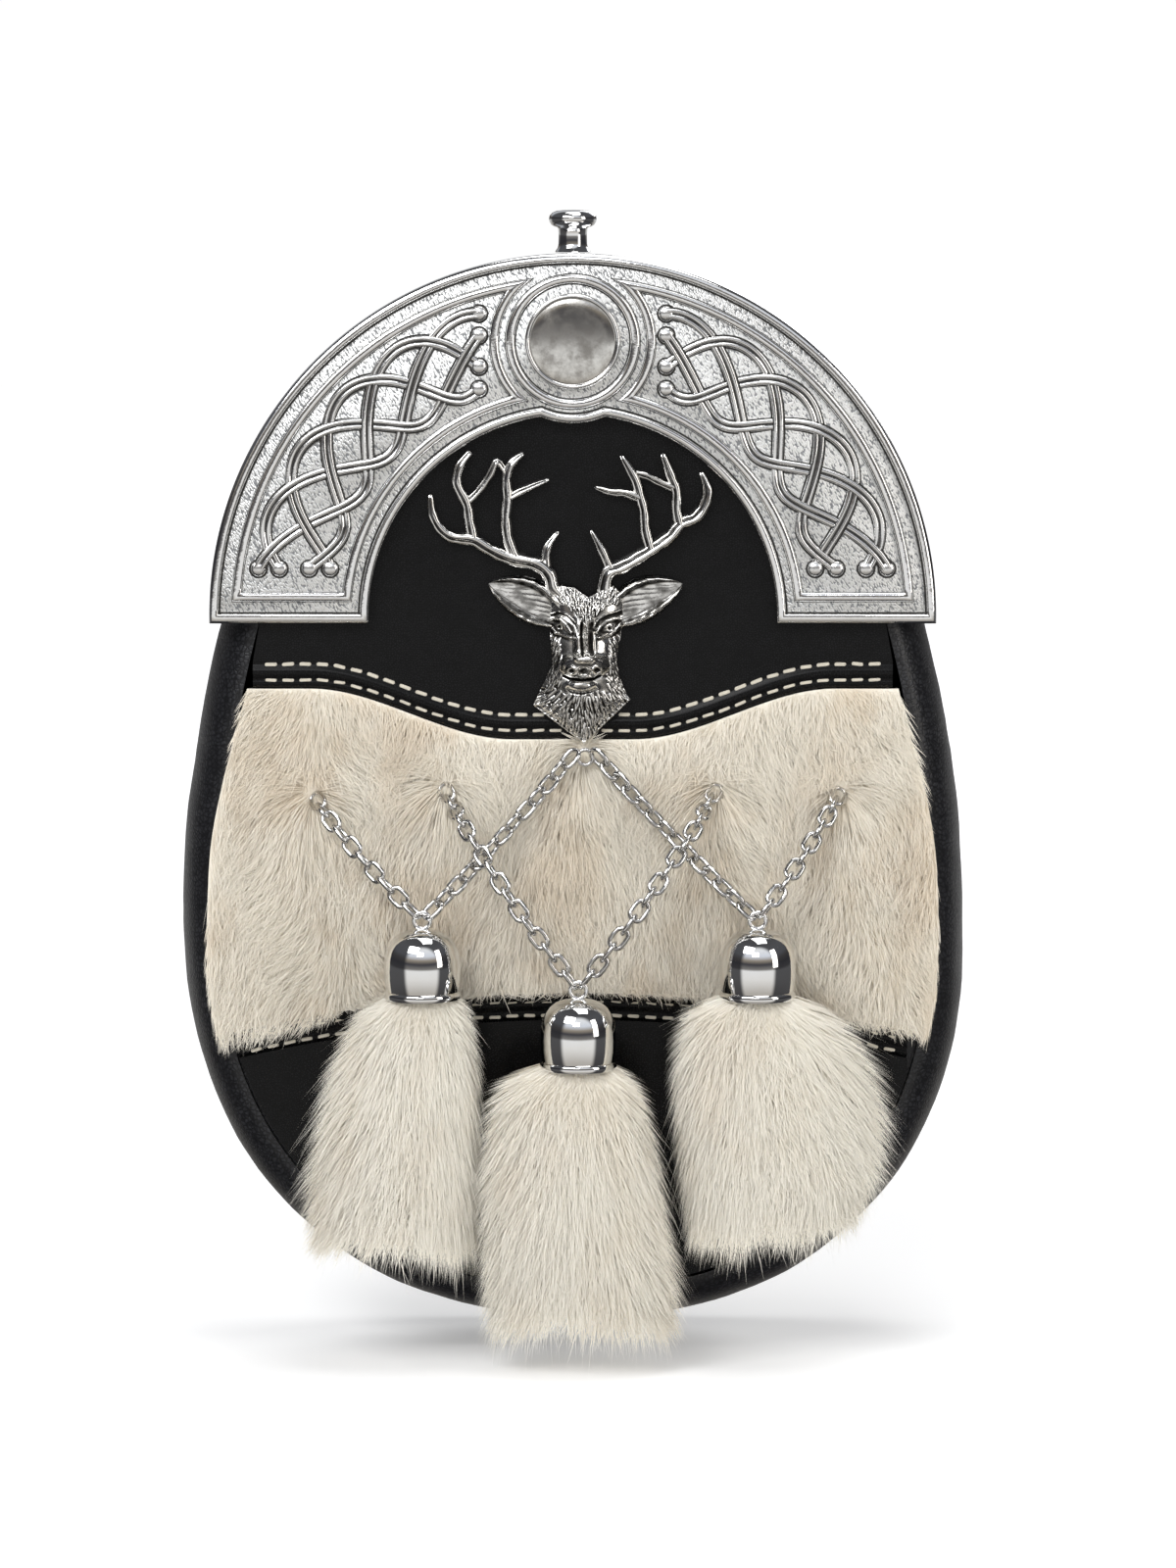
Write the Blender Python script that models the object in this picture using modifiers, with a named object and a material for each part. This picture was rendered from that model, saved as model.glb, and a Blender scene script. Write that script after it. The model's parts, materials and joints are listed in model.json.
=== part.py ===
"""Full dress sporran: a leather pouch with a cast cantle, a stag badge, a fur front and three tassels.

Metres, +Z up. The front faces -Y and the wearer is on the +Y side. The origin lies on the pouch's
back face, half way between the two belt loops.
"""

import math

import bmesh
import bpy
from mathutils import Vector

MM = 0.001
CLEAR = 0.3 * MM            # gap kept between pieces that touch

# Pouch outline, seen from the front
ARCH_DROP = 34.0 * MM       # belt line down to the centre of the cantle's circle
WIDE_HALF = 83.9 * MM       # half width at the widest place
WIDE_DROP = 67.8 * MM       # cantle's centre down to the widest place
BOWL_DEPTH = 84.4 * MM      # widest place down to the lowest point
BOWL_POWER = 2.2            # 2 is an ellipse, more is squarer
SAG_LEAN = 2.0 * MM         # the lowest point hangs this far to the right

# Pouch depth and leather
POUCH_DEPTH = 34.5 * MM
ROLL_WIDTH = 9.0 * MM       # how far the gusset bulges beyond its seams
GUSSET_WALL = 1.8 * MM
PANEL_WALL = 2.0 * MM
FACING_WALL = 1.8 * MM      # flap and lower panel, sewn on the front panel
PANEL_RECESS = 1.3 * MM     # the front panel lies this far behind the roll's crest
FRONT_CORNER = 11.0         # degrees round the bowl to the end of the front panel's bottom edge
LOWER_CORNER = 28.0         # and to the end of the lower panel's
CROWN = 3.5 * MM            # the front swells by this much below the badge
CROWN_DROP = 30.0 * MM      # cantle's centre down to where the swell starts
CROWN_RUN = 55.0 * MM       # height over which the swell grows

# Front flap and the welts sewn along its edge and the lower panel's edge
FLAP_SIDE_DROP = 14.6 * MM  # cantle's centre down to the flap's edge at the sides
FLAP_DIP = 10.7 * MM        # the edge dips this much more in the middle
DIP_INNER = 13.0 * MM       # half width of the dip's flat bottom
DIP_OUTER = 55.0 * MM       # half width where the dip starts
WELT_WIDTH = 5.4 * MM
WELT_WALL = 2.3 * MM
LOWER_MID_DROP = 79.0 * MM  # cantle's centre down to the lower panel's edge in the middle
LOWER_FALL = 9.5 * MM       # that edge is this much lower at the sides

# Fur panel
PILE = 7.5 * MM
FUR_BACKING = 1.4 * MM
FUR_OVERHANG = 3.0 * MM     # the pile reaches out over the roll at each side
HEM_HANG = 3.2 * MM         # locks hang this far over the lower welt
HEM_TUCK = 2.4 * MM         # the skin stops this far above the welt
LOCK_DEPTH = 0.9 * MM       # grooves between the panel's locks
DIMPLE = 2.5 * MM           # the pile is pressed in where a chain starts
DIMPLE_RADIUS = 9.0 * MM

# Cantle: a cast plate with a raised rim and a wall that runs back over the pouch
CANTLE_RADIUS = 76.2 * MM
CANTLE_LEG = 1.0 * MM       # below the circle's centre the ends run straight
INNER_RADIUS = 42.6 * MM
BOSS_HEIGHT = 57.9 * MM
BOSS_RADIUS = 17.2 * MM
PLATE_WALL = 1.8 * MM
RIM_WIDTH = 2.2 * MM
RIM_HEIGHT = 1.2 * MM
SHROUD_DEPTH = 20.0 * MM
SHROUD_WALL = 1.05 * MM
SHROUD_STEP = 0.15 * MM
SHROUD_GAP = 0.4 * MM       # between the shroud and the pouch's top
FIELD_OUTER = 5.7 * MM      # outer edge in to the middle of the field's line
FIELD_INNER = 4.9 * MM
FIELD_BASE = 5.6 * MM
FIELD_BOSS = 16.4 * MM      # radius of the line beside the boss
LINE_WIDTH = 1.7 * MM
LINE_HEIGHT = 0.8 * MM
RING_RADIUS = 13.0 * MM
RING_WIRE = 0.9 * MM
DISC_RADIUS = 9.9 * MM
DISC_HEIGHT = 0.7 * MM

# Four-strand plait on each side of the cantle
PLAIT_RADIUS = 59.2 * MM    # middle line of the plait
PLAIT_REACH = 8.0 * MM      # strands swing this far to each side
PLAIT_START = 10.5 * MM     # height of the lower pearls above the circle's centre
PLAIT_END = 19.5 * MM       # the upper pearls' distance from the middle
PLAIT_QUARTERS = 5          # quarter turns of the plait from pearl to pearl
STRAND_WIDTH = 2.6 * MM
STRAND_HEIGHT = 0.7 * MM
STRAND_WEAVE = 0.2 * MM     # a strand rises and dips this much at its crossings
PEARL_RADIUS = 1.75 * MM
PEARL_RISE = 1.2 * MM

# Knob on top of the cantle
KNOB_HEAD = 5.0 * MM
KNOB_STEM = 3.05 * MM
KNOB_FOOT = 3.7 * MM
KNOB_HEIGHT = 8.9 * MM
KNOB_CAP = 3.5 * MM

# Stag badge
BADGE_SHIFT = 1.2 * MM      # sits a little right of the middle
ANTLER_REACH = 30.9 * MM
ANTLER_HEIGHT = 28.0 * MM
ANTLER_BASE = 7.0 * MM      # above the cantle's centre
ANTLER_WIRE = 1.15 * MM
HEAD_TOP = 9.0 * MM         # above the cantle's centre
HEAD_HEIGHT = 34.2 * MM
HEAD_HALF = 10.1 * MM
HEAD_RELIEF = 6.5 * MM
EAR_LENGTH = 15.5 * MM
EAR_HALF = 4.0 * MM
EAR_WALL = 1.7 * MM

# Tassels and chains
CAP_RADIUS = 8.0 * MM
CAP_HEIGHT = 14.6 * MM
CAP_WALL = 0.9 * MM
EYE_RADIUS = 1.7 * MM
EYE_WIRE = 0.5 * MM
TASSEL_LENGTH = 56.0 * MM
TASSEL_HALF = 20.0 * MM
TASSEL_THICK = 9.5 * MM
NECK_DEPTH = 8.0 * MM       # the fur's bound head reaches this far up into the cap
LOCK_TIP = 3.5 * MM
CHAIN_WIDTH = 3.4 * MM

# Back: pocket mouth under a flap with a press stud, and two belt loops
BACK_FLAP_HALF = 58.0 * MM
BACK_FLAP_TOP = 4.0 * MM    # above the cantle's centre
BACK_FLAP_DROP = 44.0 * MM
FLAP_CORNER = 20.0 * MM
MOUTH_HALF = 52.0 * MM
MOUTH_HEIGHT = 12.0 * MM
MOUTH_DROP = 6.0 * MM       # cantle's centre down to the mouth
STUD_RADIUS = 5.5 * MM
STUD_HEIGHT = 2.2 * MM
STUD_MARGIN = 6.0 * MM
LOOP_OFFSET = 38.0 * MM
LOOP_WIDTH = 20.0 * MM
LOOP_WALL = 2.0 * MM
BELT_HEIGHT = 27.0 * MM
BELT_THICK = 5.6 * MM
LOOP_TAB = 7.0 * MM
LOOP_RISE = 4.0 * MM        # height over which a loop leaves the back

# How finely round shapes are divided
ARC_STEPS = 16
ARCH_STEPS = 26            # cantle's outer edge
SIDE_STEPS = 3
BOWL_STEPS = 20
ROLL_STEPS = 5
ROLL_STEPS_INSIDE = 3
SEAM_COLUMNS = 20
STRAND_STEPS = 14
TASSEL_LOCKS = 10
CHAIN_STEPS = 8

# Worked out from the sizes above
ARCH_Z = -ARCH_DROP
TOP_HALF = CANTLE_RADIUS - SHROUD_STEP - SHROUD_WALL - SHROUD_GAP  # radius of the pouch's top
WIDE_Z = ARCH_Z - WIDE_DROP
BOTTOM_Z = WIDE_Z - BOWL_DEPTH
PANEL_INSET = ROLL_WIDTH + 2.5 * CLEAR
PANEL_FRONT = -POUCH_DEPTH + PANEL_RECESS
FACING_BACK = PANEL_FRONT - CLEAR
FACING_FRONT = FACING_BACK - FACING_WALL
WELT_FRONT = FACING_BACK - WELT_WALL
PLATE_BACK = min(FACING_FRONT, -POUCH_DEPTH) - CLEAR
PLATE_FRONT = PLATE_BACK - PLATE_WALL
RIM_FRONT = PLATE_FRONT - RIM_HEIGHT
BADGE_BACK = min(WELT_FRONT, FACING_FRONT) - CLEAR
FUR_FRONT = FACING_BACK - FUR_BACKING - PILE
SINK = 0.5 * PLATE_WALL     # relief is rooted this deep in the plate
CROSSING_LIFT = CHAIN_WIDTH + 3.0 * CLEAR

# Antlers, as shares of ANTLER_REACH (x) and ANTLER_HEIGHT (z), with shares of ANTLER_WIRE
# x is measured from the badge's middle and z from the antlers' base
ANTLER_TINES = {
    "left_beam": [(-0.17, -0.06, 1.1), (-0.20, 0.08, 1.1), (-0.29, 0.16, 1.05), (-0.46, 0.20, 1.0),
                  (-0.60, 0.27, 0.95), (-0.71, 0.34, 0.95), (-0.85, 0.36, 0.85), (-0.93, 0.42, 0.8),
                  (-0.985, 0.53, 0.7), (-1.0, 0.68, 0.35)],
    "left_brow": [(-0.22, 0.13, 0.8), (-0.21, 0.28, 0.7), (-0.135, 0.40, 0.25)],
    "left_inner": [(-0.43, 0.21, 0.9), (-0.475, 0.34, 0.85), (-0.49, 0.49, 0.8), (-0.48, 0.66, 0.8),
                   (-0.485, 0.81, 0.75), (-0.45, 0.91, 0.7), (-0.37, 0.985, 0.35)],
    "left_inner_fork": [(-0.47, 0.65, 0.6), (-0.37, 0.71, 0.6), (-0.20, 0.79, 0.25)],
    "left_outer": [(-0.71, 0.34, 0.9), (-0.735, 0.48, 0.85), (-0.755, 0.61, 0.8), (-0.82, 0.76, 0.8),
                   (-0.80, 0.89, 0.75), (-0.725, 1.0, 0.45)],
    "left_outer_fork": [(-0.75, 0.62, 0.6), (-0.67, 0.71, 0.6), (-0.60, 0.82, 0.6), (-0.55, 0.92, 0.6),
                        (-0.485, 0.83, 0.45)],
    "right_beam": [(0.17, -0.06, 1.1), (0.20, 0.09, 1.1), (0.30, 0.14, 1.05), (0.43, 0.22, 1.0),
                   (0.53, 0.29, 0.95), (0.62, 0.36, 0.95), (0.70, 0.46, 0.9), (0.80, 0.51, 0.95),
                   (0.86, 0.61, 0.9), (0.875, 0.72, 0.8), (0.83, 0.85, 0.35)],
    "right_brow": [(0.22, 0.11, 0.8), (0.16, 0.26, 0.7), (0.085, 0.41, 0.25)],
    "right_inner": [(0.49, 0.26, 0.9), (0.455, 0.41, 0.85), (0.445, 0.55, 0.8), (0.42, 0.66, 0.8),
                    (0.38, 0.80, 0.8), (0.29, 0.97, 0.4)],
    "right_inner_fork": [(0.43, 0.64, 0.7), (0.32, 0.69, 0.65), (0.22, 0.70, 0.6), (0.11, 0.735, 0.3)],
    "right_outer": [(0.69, 0.44, 0.85), (0.665, 0.56, 0.8), (0.665, 0.70, 0.8), (0.63, 0.81, 0.8),
                    (0.57, 0.985, 0.5)],
    "right_outer_fork": [(0.66, 0.72, 0.6), (0.56, 0.765, 0.6), (0.46, 0.82, 0.6), (0.385, 0.84, 0.55)],
}

# Stag's head, from the crown down: shares of HEAD_HEIGHT, HEAD_HALF and HEAD_RELIEF
HEAD_SECTIONS = [
    {"drop": 0.00, "half": 0.30, "relief": 0.34},
    {"drop": 0.08, "half": 0.58, "relief": 0.55},
    {"drop": 0.18, "half": 0.80, "relief": 0.70},
    {"drop": 0.27, "half": 0.82, "relief": 0.74},
    {"drop": 0.38, "half": 0.72, "relief": 0.74},
    {"drop": 0.48, "half": 0.70, "relief": 0.70},
    {"drop": 0.60, "half": 0.80, "relief": 0.66},
    {"drop": 0.77, "half": 1.00, "relief": 0.52},
    {"drop": 0.89, "half": 0.50, "relief": 0.42},
    {"drop": 1.00, "half": 0.05, "relief": 0.28},
]

# Rounded masses on the head: drop and size are shares of HEAD_HEIGHT, HEAD_HALF and HEAD_RELIEF
HEAD_MASSES = {
    "bridge": {"drop": 0.36, "side": 0.0, "half": 0.24, "tall": 0.20, "relief": 1.10},
    "muzzle": {"drop": 0.53, "side": 0.0, "half": 0.50, "tall": 0.085, "relief": 1.30},
    "chin": {"drop": 0.635, "side": 0.0, "half": 0.30, "tall": 0.045, "relief": 1.08},
    "left_brow": {"drop": 0.25, "side": -0.48, "half": 0.26, "tall": 0.06, "relief": 0.86},
    "right_brow": {"drop": 0.25, "side": 0.48, "half": 0.26, "tall": 0.06, "relief": 0.86},
}

# Each ear from its root to its tip: shares of EAR_LENGTH and EAR_HALF
EAR_SECTIONS = [
    {"along": 0.00, "half": 0.45},
    {"along": 0.25, "half": 0.90},
    {"along": 0.50, "half": 1.00},
    {"along": 0.78, "half": 0.62},
    {"along": 1.00, "half": 0.06},
]

# Tassels: x and top place the cap, as shares of WIDE_HALF and of the drop from the cantle's centre
# to the pouch's lowest point. hem is a share of TASSEL_LENGTH, and on_top is 1 where the chains
# cross over the others. spread is how the fur opens below the cap: drop as a share of the length,
# reach to the left and to the right of TASSEL_HALF, and depth of TASSEL_THICK
TASSELS = {
    "left": {
        "x": -0.372, "top": 0.415, "hem": 1.0, "on_top": 0,
        "spread": [(0.02, 0.40, 0.40, 0.62), (0.08, 0.66, 0.50, 0.74), (0.20, 0.88, 0.57, 0.84),
                   (0.35, 1.05, 0.61, 0.93), (0.55, 1.20, 0.63, 1.00), (0.75, 1.32, 0.64, 1.05),
                   (0.92, 1.34, 0.61, 1.00)],
    },
    "middle": {
        "x": 0.014, "top": 0.507, "hem": 1.04, "on_top": 1,
        "spread": [(0.02, 0.40, 0.40, 0.62), (0.06, 0.72, 0.64, 0.76), (0.14, 0.90, 0.74, 0.86),
                   (0.30, 0.97, 0.84, 0.98), (0.50, 1.00, 0.92, 1.08), (0.72, 1.02, 0.98, 1.16),
                   (0.92, 1.04, 1.05, 1.10)],
    },
    "right": {
        "x": 0.458, "top": 0.415, "hem": 0.96, "on_top": 0,
        "spread": [(0.02, 0.40, 0.40, 0.62), (0.07, 0.62, 0.66, 0.74), (0.16, 0.76, 0.96, 0.84),
                   (0.30, 0.80, 1.22, 0.96), (0.52, 0.82, 1.40, 1.06), (0.74, 0.80, 1.42, 1.08),
                   (0.92, 0.72, 1.26, 1.00)],
    },
}

# Where the chains leave the fur: shares of WIDE_HALF and of the drop to the lowest point
CHAIN_ROOTS = {
    "outer_left": (-0.650, 0.246),
    "mid_left": (-0.325, 0.233),
    "centre": (0.030, 0.184),
    "mid_right": (0.364, 0.233),
    "outer_right": (0.672, 0.238),
}

# Each strand: its root in the fur, its tassel, the side of the cap, and 1 if it crosses on top
CHAINS = {
    "chain_left_outer": ("outer_left", "left", -1, 0),
    "chain_left_inner": ("centre", "left", 1, 0),
    "chain_middle_left": ("mid_left", "middle", -1, 1),
    "chain_middle_right": ("mid_right", "middle", 1, 1),
    "chain_right_inner": ("centre", "right", -1, 0),
    "chain_right_outer": ("outer_right", "right", 1, 0),
}

# Colour, roughness, metallic
FINISHES = {
    "black_leather": ((0.012, 0.012, 0.013, 1.0), 0.42, 0.0),
    "glazed_leather": ((0.010, 0.009, 0.009, 1.0), 0.22, 0.0),
    "chromed_cast": ((0.62, 0.63, 0.64, 1.0), 0.16, 1.0),
    "antiqued_cast": ((0.50, 0.50, 0.50, 1.0), 0.28, 1.0),
    "cream_fur": ((0.76, 0.68, 0.55, 1.0), 0.85, 0.0),
    "white_fur": ((0.84, 0.80, 0.70, 1.0), 0.85, 0.0),
}


def clear_scene():
    """Removes what the scene held before."""
    for old in list(bpy.data.objects):
        bpy.data.objects.remove(old, do_unlink=True)


def make_collection(name):
    """A collection linked to the scene."""
    made = bpy.data.collections.new(name)
    bpy.context.scene.collection.children.link(made)
    return made


def finish(name):
    """The named material, made once."""
    if name in bpy.data.materials:
        return bpy.data.materials[name]
    colour, roughness, metallic = FINISHES[name]
    made = bpy.data.materials.new(name)
    made.use_nodes = True
    shader = made.node_tree.nodes["Principled BSDF"]
    shader.inputs["Base Color"].default_value = colour
    shader.inputs["Roughness"].default_value = roughness
    shader.inputs["Metallic"].default_value = metallic
    return made


def add_object(name, mesh, material, collection):
    """Links a mesh as an object of its own material."""
    made = bpy.data.objects.new(name, mesh)
    mesh.materials.clear()
    mesh.materials.append(finish(material))
    collection.objects.link(made)
    return made


def mesh_from(bm, name, sharp=40.0):
    """Turns a bmesh into a mesh with outward normals, smooth except at sharp edges."""
    bmesh.ops.recalc_face_normals(bm, faces=bm.faces)
    mesh = bpy.data.meshes.new(name)
    bm.to_mesh(mesh)
    bm.free()
    mesh.shade_smooth()
    mesh.set_sharp_from_angle(angle=math.radians(sharp))
    return mesh


def loft(name, rings, ends="capped"):
    """A mesh through rings of equal length. ends is capped, open, or joined back to the first."""
    bm = bmesh.new()
    rows = [[bm.verts.new(point) for point in ring] for ring in rings]
    count = len(rows[0])
    pairs = list(zip(rows, rows[1:]))
    if ends == "joined":
        pairs.append((rows[-1], rows[0]))
    for near, far in pairs:
        for i in range(count):
            j = (i + 1) % count
            bm.faces.new((near[i], near[j], far[j], far[i]))
    if ends == "capped":
        bm.faces.new(list(reversed(rows[0])))
        bm.faces.new(rows[-1])
    return mesh_from(bm, name)


def slab(name, columns, rows, place, front, back):
    """A closed sheet from a grid: place turns grid shares into (x, z), front and back give y."""
    bm = bmesh.new()
    bmesh.ops.create_grid(bm, x_segments=columns, y_segments=rows, size=1.0)
    grown = bmesh.ops.extrude_face_region(bm, geom=bm.faces[:], use_keep_orig=True)
    outer = {item for item in grown["geom"] if isinstance(item, bmesh.types.BMVert)}
    for vert in bm.verts:
        across, up = vert.co.x, vert.co.y
        x, z = place(across, up)
        depth = front if vert in outer else back
        vert.co = (x, depth(x, z, across, up), z)
    return mesh_from(bm, name)


def turned(name, profile, steps, centre, collection, material):
    """A solid of revolution about an upright axis, from (radius, height) pairs, outer side first."""
    bm = bmesh.new()
    verts = [bm.verts.new((radius, 0.0, height)) for radius, height in profile]
    for near, far in zip(verts, verts[1:]):
        bm.edges.new((near, far))
    mesh = bpy.data.meshes.new(name)
    bm.to_mesh(mesh)
    bm.free()
    made = add_object(name, mesh, material, collection)
    screw = made.modifiers.new("turn", "SCREW")
    screw.angle = math.radians(360.0)
    screw.steps = steps
    screw.render_steps = steps
    screw.use_merge_vertices = True
    screw.merge_threshold = 0.00002
    screw.use_smooth_shade = True
    made.location = centre
    return made


def tube(name, points, radii, sides, collection, material):
    """A round bar through points, as a curve with filled caps."""
    data = bpy.data.curves.new(name, "CURVE")
    data.dimensions = "3D"
    data.bevel_depth = 1.0
    data.bevel_resolution = (sides - 4) // 2
    data.use_fill_caps = True
    spline = data.splines.new("POLY")
    spline.points.add(len(points) - 1)
    for knot, point, radius in zip(spline.points, points, radii):
        knot.co = (*point, 1.0)
        knot.radius = radius
    made = bpy.data.objects.new(name, data)
    data.materials.append(finish(material))
    collection.objects.link(made)
    return made


def as_mesh(curve_object, collection):
    """The curve's own surface as a mesh object with welded caps; the curve is removed."""
    bpy.context.view_layer.update()
    graph = bpy.context.evaluated_depsgraph_get()
    mesh = bpy.data.meshes.new_from_object(curve_object.evaluated_get(graph))
    bm = bmesh.new()
    bm.from_mesh(mesh)
    bmesh.ops.remove_doubles(bm, verts=bm.verts, dist=0.00001)
    bmesh.ops.recalc_face_normals(bm, faces=bm.faces)
    bm.to_mesh(mesh)
    bm.free()
    name, place = curve_object.name, curve_object.matrix_world.copy()
    bpy.data.objects.remove(curve_object, do_unlink=True)
    made = bpy.data.objects.new(name, mesh)
    made.matrix_world = place
    collection.objects.link(made)
    return made


def hide_tool(tool):
    """A cutter or an added mass is drawn as wires and isn't a piece of its own."""
    tool.hide_render = True
    tool.display_type = "WIRE"


def union_all(target, tools):
    """Fuses every object of a collection to target."""
    for tool in tools.objects:
        hide_tool(tool)
    fuse = target.modifiers.new("fuse", "BOOLEAN")
    fuse.operation = "UNION"
    fuse.operand_type = "COLLECTION"
    fuse.collection = tools
    fuse.solver = "EXACT"


def smooth(share):
    """Eases from 0 to 1."""
    share = min(1.0, max(0.0, share))
    return share * share * (3.0 - 2.0 * share)


def mix(start, end, share):
    """The value at a share of the way from start to end."""
    return start + (end - start) * share


def lean(z):
    """How far the pouch's middle line has moved right at height z."""
    return SAG_LEAN * min(1.0, max(0.0, (WIDE_Z - z) / BOWL_DEPTH))


def half_width(z, inset=0.0):
    """Half width of the pouch's outline at height z, moved in by inset."""
    if z > ARCH_Z:
        return math.sqrt(max(0.0, (TOP_HALF - inset) ** 2 - (z - ARCH_Z) ** 2))
    if z > WIDE_Z:
        rise = (z - WIDE_Z) / WIDE_DROP
        return mix(WIDE_HALF, TOP_HALF, rise ** 2) - inset
    fall = min(1.0, (WIDE_Z - z) / (BOWL_DEPTH - inset))
    return (WIDE_HALF - inset) * (1.0 - fall ** BOWL_POWER) ** (1.0 / BOWL_POWER)


def bowl_point(angle, inset):
    """A point on the outline's lower half; angle 0 is the right end and pi the left end."""
    power = 2.0 / BOWL_POWER
    x = (WIDE_HALF - inset) * math.copysign(abs(math.cos(angle)) ** power, math.cos(angle))
    z = WIDE_Z - (BOWL_DEPTH - inset) * abs(math.sin(angle)) ** power
    return x + lean(z), z


def pouch_loop(inset):
    """The pouch's outline moved in by inset, as a closed ring of (x, z)."""
    points = []
    for i in range(ARC_STEPS):
        angle = math.pi * i / ARC_STEPS
        radius = TOP_HALF - inset
        points.append((radius * math.cos(angle), ARCH_Z + radius * math.sin(angle)))
    for i in range(SIDE_STEPS):
        z = ARCH_Z - WIDE_DROP * i / SIDE_STEPS
        points.append((-half_width(z, inset), z))
    for i in range(BOWL_STEPS):
        points.append(bowl_point(math.pi * (1.0 - i / BOWL_STEPS), inset))
    for i in range(SIDE_STEPS):
        z = WIDE_Z + WIDE_DROP * i / SIDE_STEPS
        points.append((half_width(z, inset), z))
    return points


def crown(x, z):
    """How far the front swells at a place."""
    grown = smooth((ARCH_Z - CROWN_DROP - z) / CROWN_RUN)
    ebb = smooth((z - BOTTOM_Z - PANEL_INSET) / (BOWL_DEPTH - PANEL_INSET))
    width = max(half_width(z, PANEL_INSET), MM)
    side = min(1.0, abs(x - lean(z)) / width)
    return CROWN * grown * ebb * (1.0 - side ** 2)


def make_gusset(collection):
    """The padded leather roll that joins the front to the back all round."""
    rings = []
    for wall, steps in ((0.0, ROLL_STEPS), (GUSSET_WALL, -ROLL_STEPS_INSIDE)):
        for i in range(abs(steps) + 1):
            angle = math.pi * (i / steps - math.copysign(0.5, steps))
            inset = ROLL_WIDTH - (ROLL_WIDTH - wall) * math.cos(angle)
            y = (POUCH_DEPTH * 0.5 - wall) * math.sin(angle) - POUCH_DEPTH * 0.5
            rings.append([(x, y, z) for x, z in pouch_loop(inset)])
    add_object("gusset", loft("gusset", rings, ends="joined"), "black_leather", collection)


def bowl_edge(corner):
    """The pouch's rounded bottom as an edge, up to corner degrees from its widest place."""

    def low_at(across):
        angle = math.radians(90.0 - across * (90.0 - corner))
        return bowl_point(angle, PANEL_INSET)

    return low_at


def panel_place(low_at, top_at):
    """Places a panel between two edges, with its outermost columns on the pouch's outline."""

    def place(across, up):
        share = (up + 1.0) * 0.5
        side = math.copysign(1.0, across)
        side_low, side_top = low_at(side), top_at(side)
        side_z = mix(side_low[1], side_top[1], share)
        outline = side * half_width(side_z, PANEL_INSET) + lean(side_z)
        bow = (outline - mix(side_low[0], side_top[0], share)) * smooth((1.0 - share) * 4.0)
        low, top = low_at(across), top_at(across)
        return mix(low[0], top[0], share) + bow * abs(across) ** 6, mix(low[1], top[1], share)

    return place


def make_front_panel(collection):
    """The pouch's own front wall, under the flap, the fur and the lower panel."""

    def top_at(across):
        angle = math.radians(90.0) * (1.0 - across)
        radius = TOP_HALF - PANEL_INSET
        return radius * math.cos(angle), ARCH_Z + radius * math.sin(angle)

    mesh = slab("front_panel", 12, 6, panel_place(bowl_edge(FRONT_CORNER), top_at),
                lambda x, z, a, u: PANEL_FRONT - crown(x, z),
                lambda x, z, a, u: PANEL_FRONT + PANEL_WALL - crown(x, z))
    add_object("front_panel", mesh, "black_leather", collection)


def flat_plate(name, loops, front, back, collection, material):
    """A flat sheet with the first loop as its outline and the others as holes."""
    data = bpy.data.curves.new(name, "CURVE")
    data.dimensions = "2D"
    data.fill_mode = "BOTH"
    data.extrude = abs(front - back) * 0.5
    for loop in loops:
        spline = data.splines.new("POLY")
        spline.use_cyclic_u = True
        spline.points.add(len(loop) - 1)
        for knot, (x, z) in zip(spline.points, loop):
            knot.co = (x, z, 0.0, 1.0)
    made = bpy.data.objects.new(name, data)
    data.materials.append(finish(material))
    made.rotation_euler = (math.radians(90.0), 0.0, 0.0)
    made.location = (0.0, (front + back) * 0.5, 0.0)
    collection.objects.link(made)
    return made


def make_back_panel(collection):
    """The flat back wall with the pocket's mouth cut through it."""
    top = ARCH_Z - MOUTH_DROP
    low = top - MOUTH_HEIGHT
    mouth = [(-MOUTH_HALF, low), (MOUTH_HALF, low), (MOUTH_HALF, top), (-MOUTH_HALF, top)]
    loops = [pouch_loop(PANEL_INSET), mouth]
    flat_plate("back_panel", loops, -PANEL_WALL, 0.0, collection, "black_leather")


def make_back_flap(collection):
    """The flap that hangs over the mouth, rounded below, and its press stud."""
    top = ARCH_Z + BACK_FLAP_TOP
    low = top - BACK_FLAP_DROP
    outline = [(BACK_FLAP_HALF, top), (-BACK_FLAP_HALF, top)]
    for side, turns in ((-1, range(7)), (1, range(6, -1, -1))):
        for i in turns:
            angle = math.radians(90.0 * i / 6)
            x = BACK_FLAP_HALF - FLAP_CORNER + FLAP_CORNER * math.cos(angle)
            outline.append((side * x, low + FLAP_CORNER - FLAP_CORNER * math.sin(angle)))
    flat_plate("back_flap", [outline], CLEAR, CLEAR + FACING_WALL, collection, "black_leather")
    seat = CLEAR + FACING_WALL + CLEAR
    profile = [(0.0, STUD_HEIGHT), (STUD_RADIUS * 0.7, STUD_HEIGHT), (STUD_RADIUS, STUD_HEIGHT * 0.5),
               (STUD_RADIUS, 0.0), (0.0, 0.0)]
    stud_z = low + STUD_RADIUS + STUD_MARGIN
    stud = turned("press_stud", profile, 16, (0.0, seat, stud_z), collection, "chromed_cast")
    stud.rotation_euler = (math.radians(-90.0), 0.0, 0.0)


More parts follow.
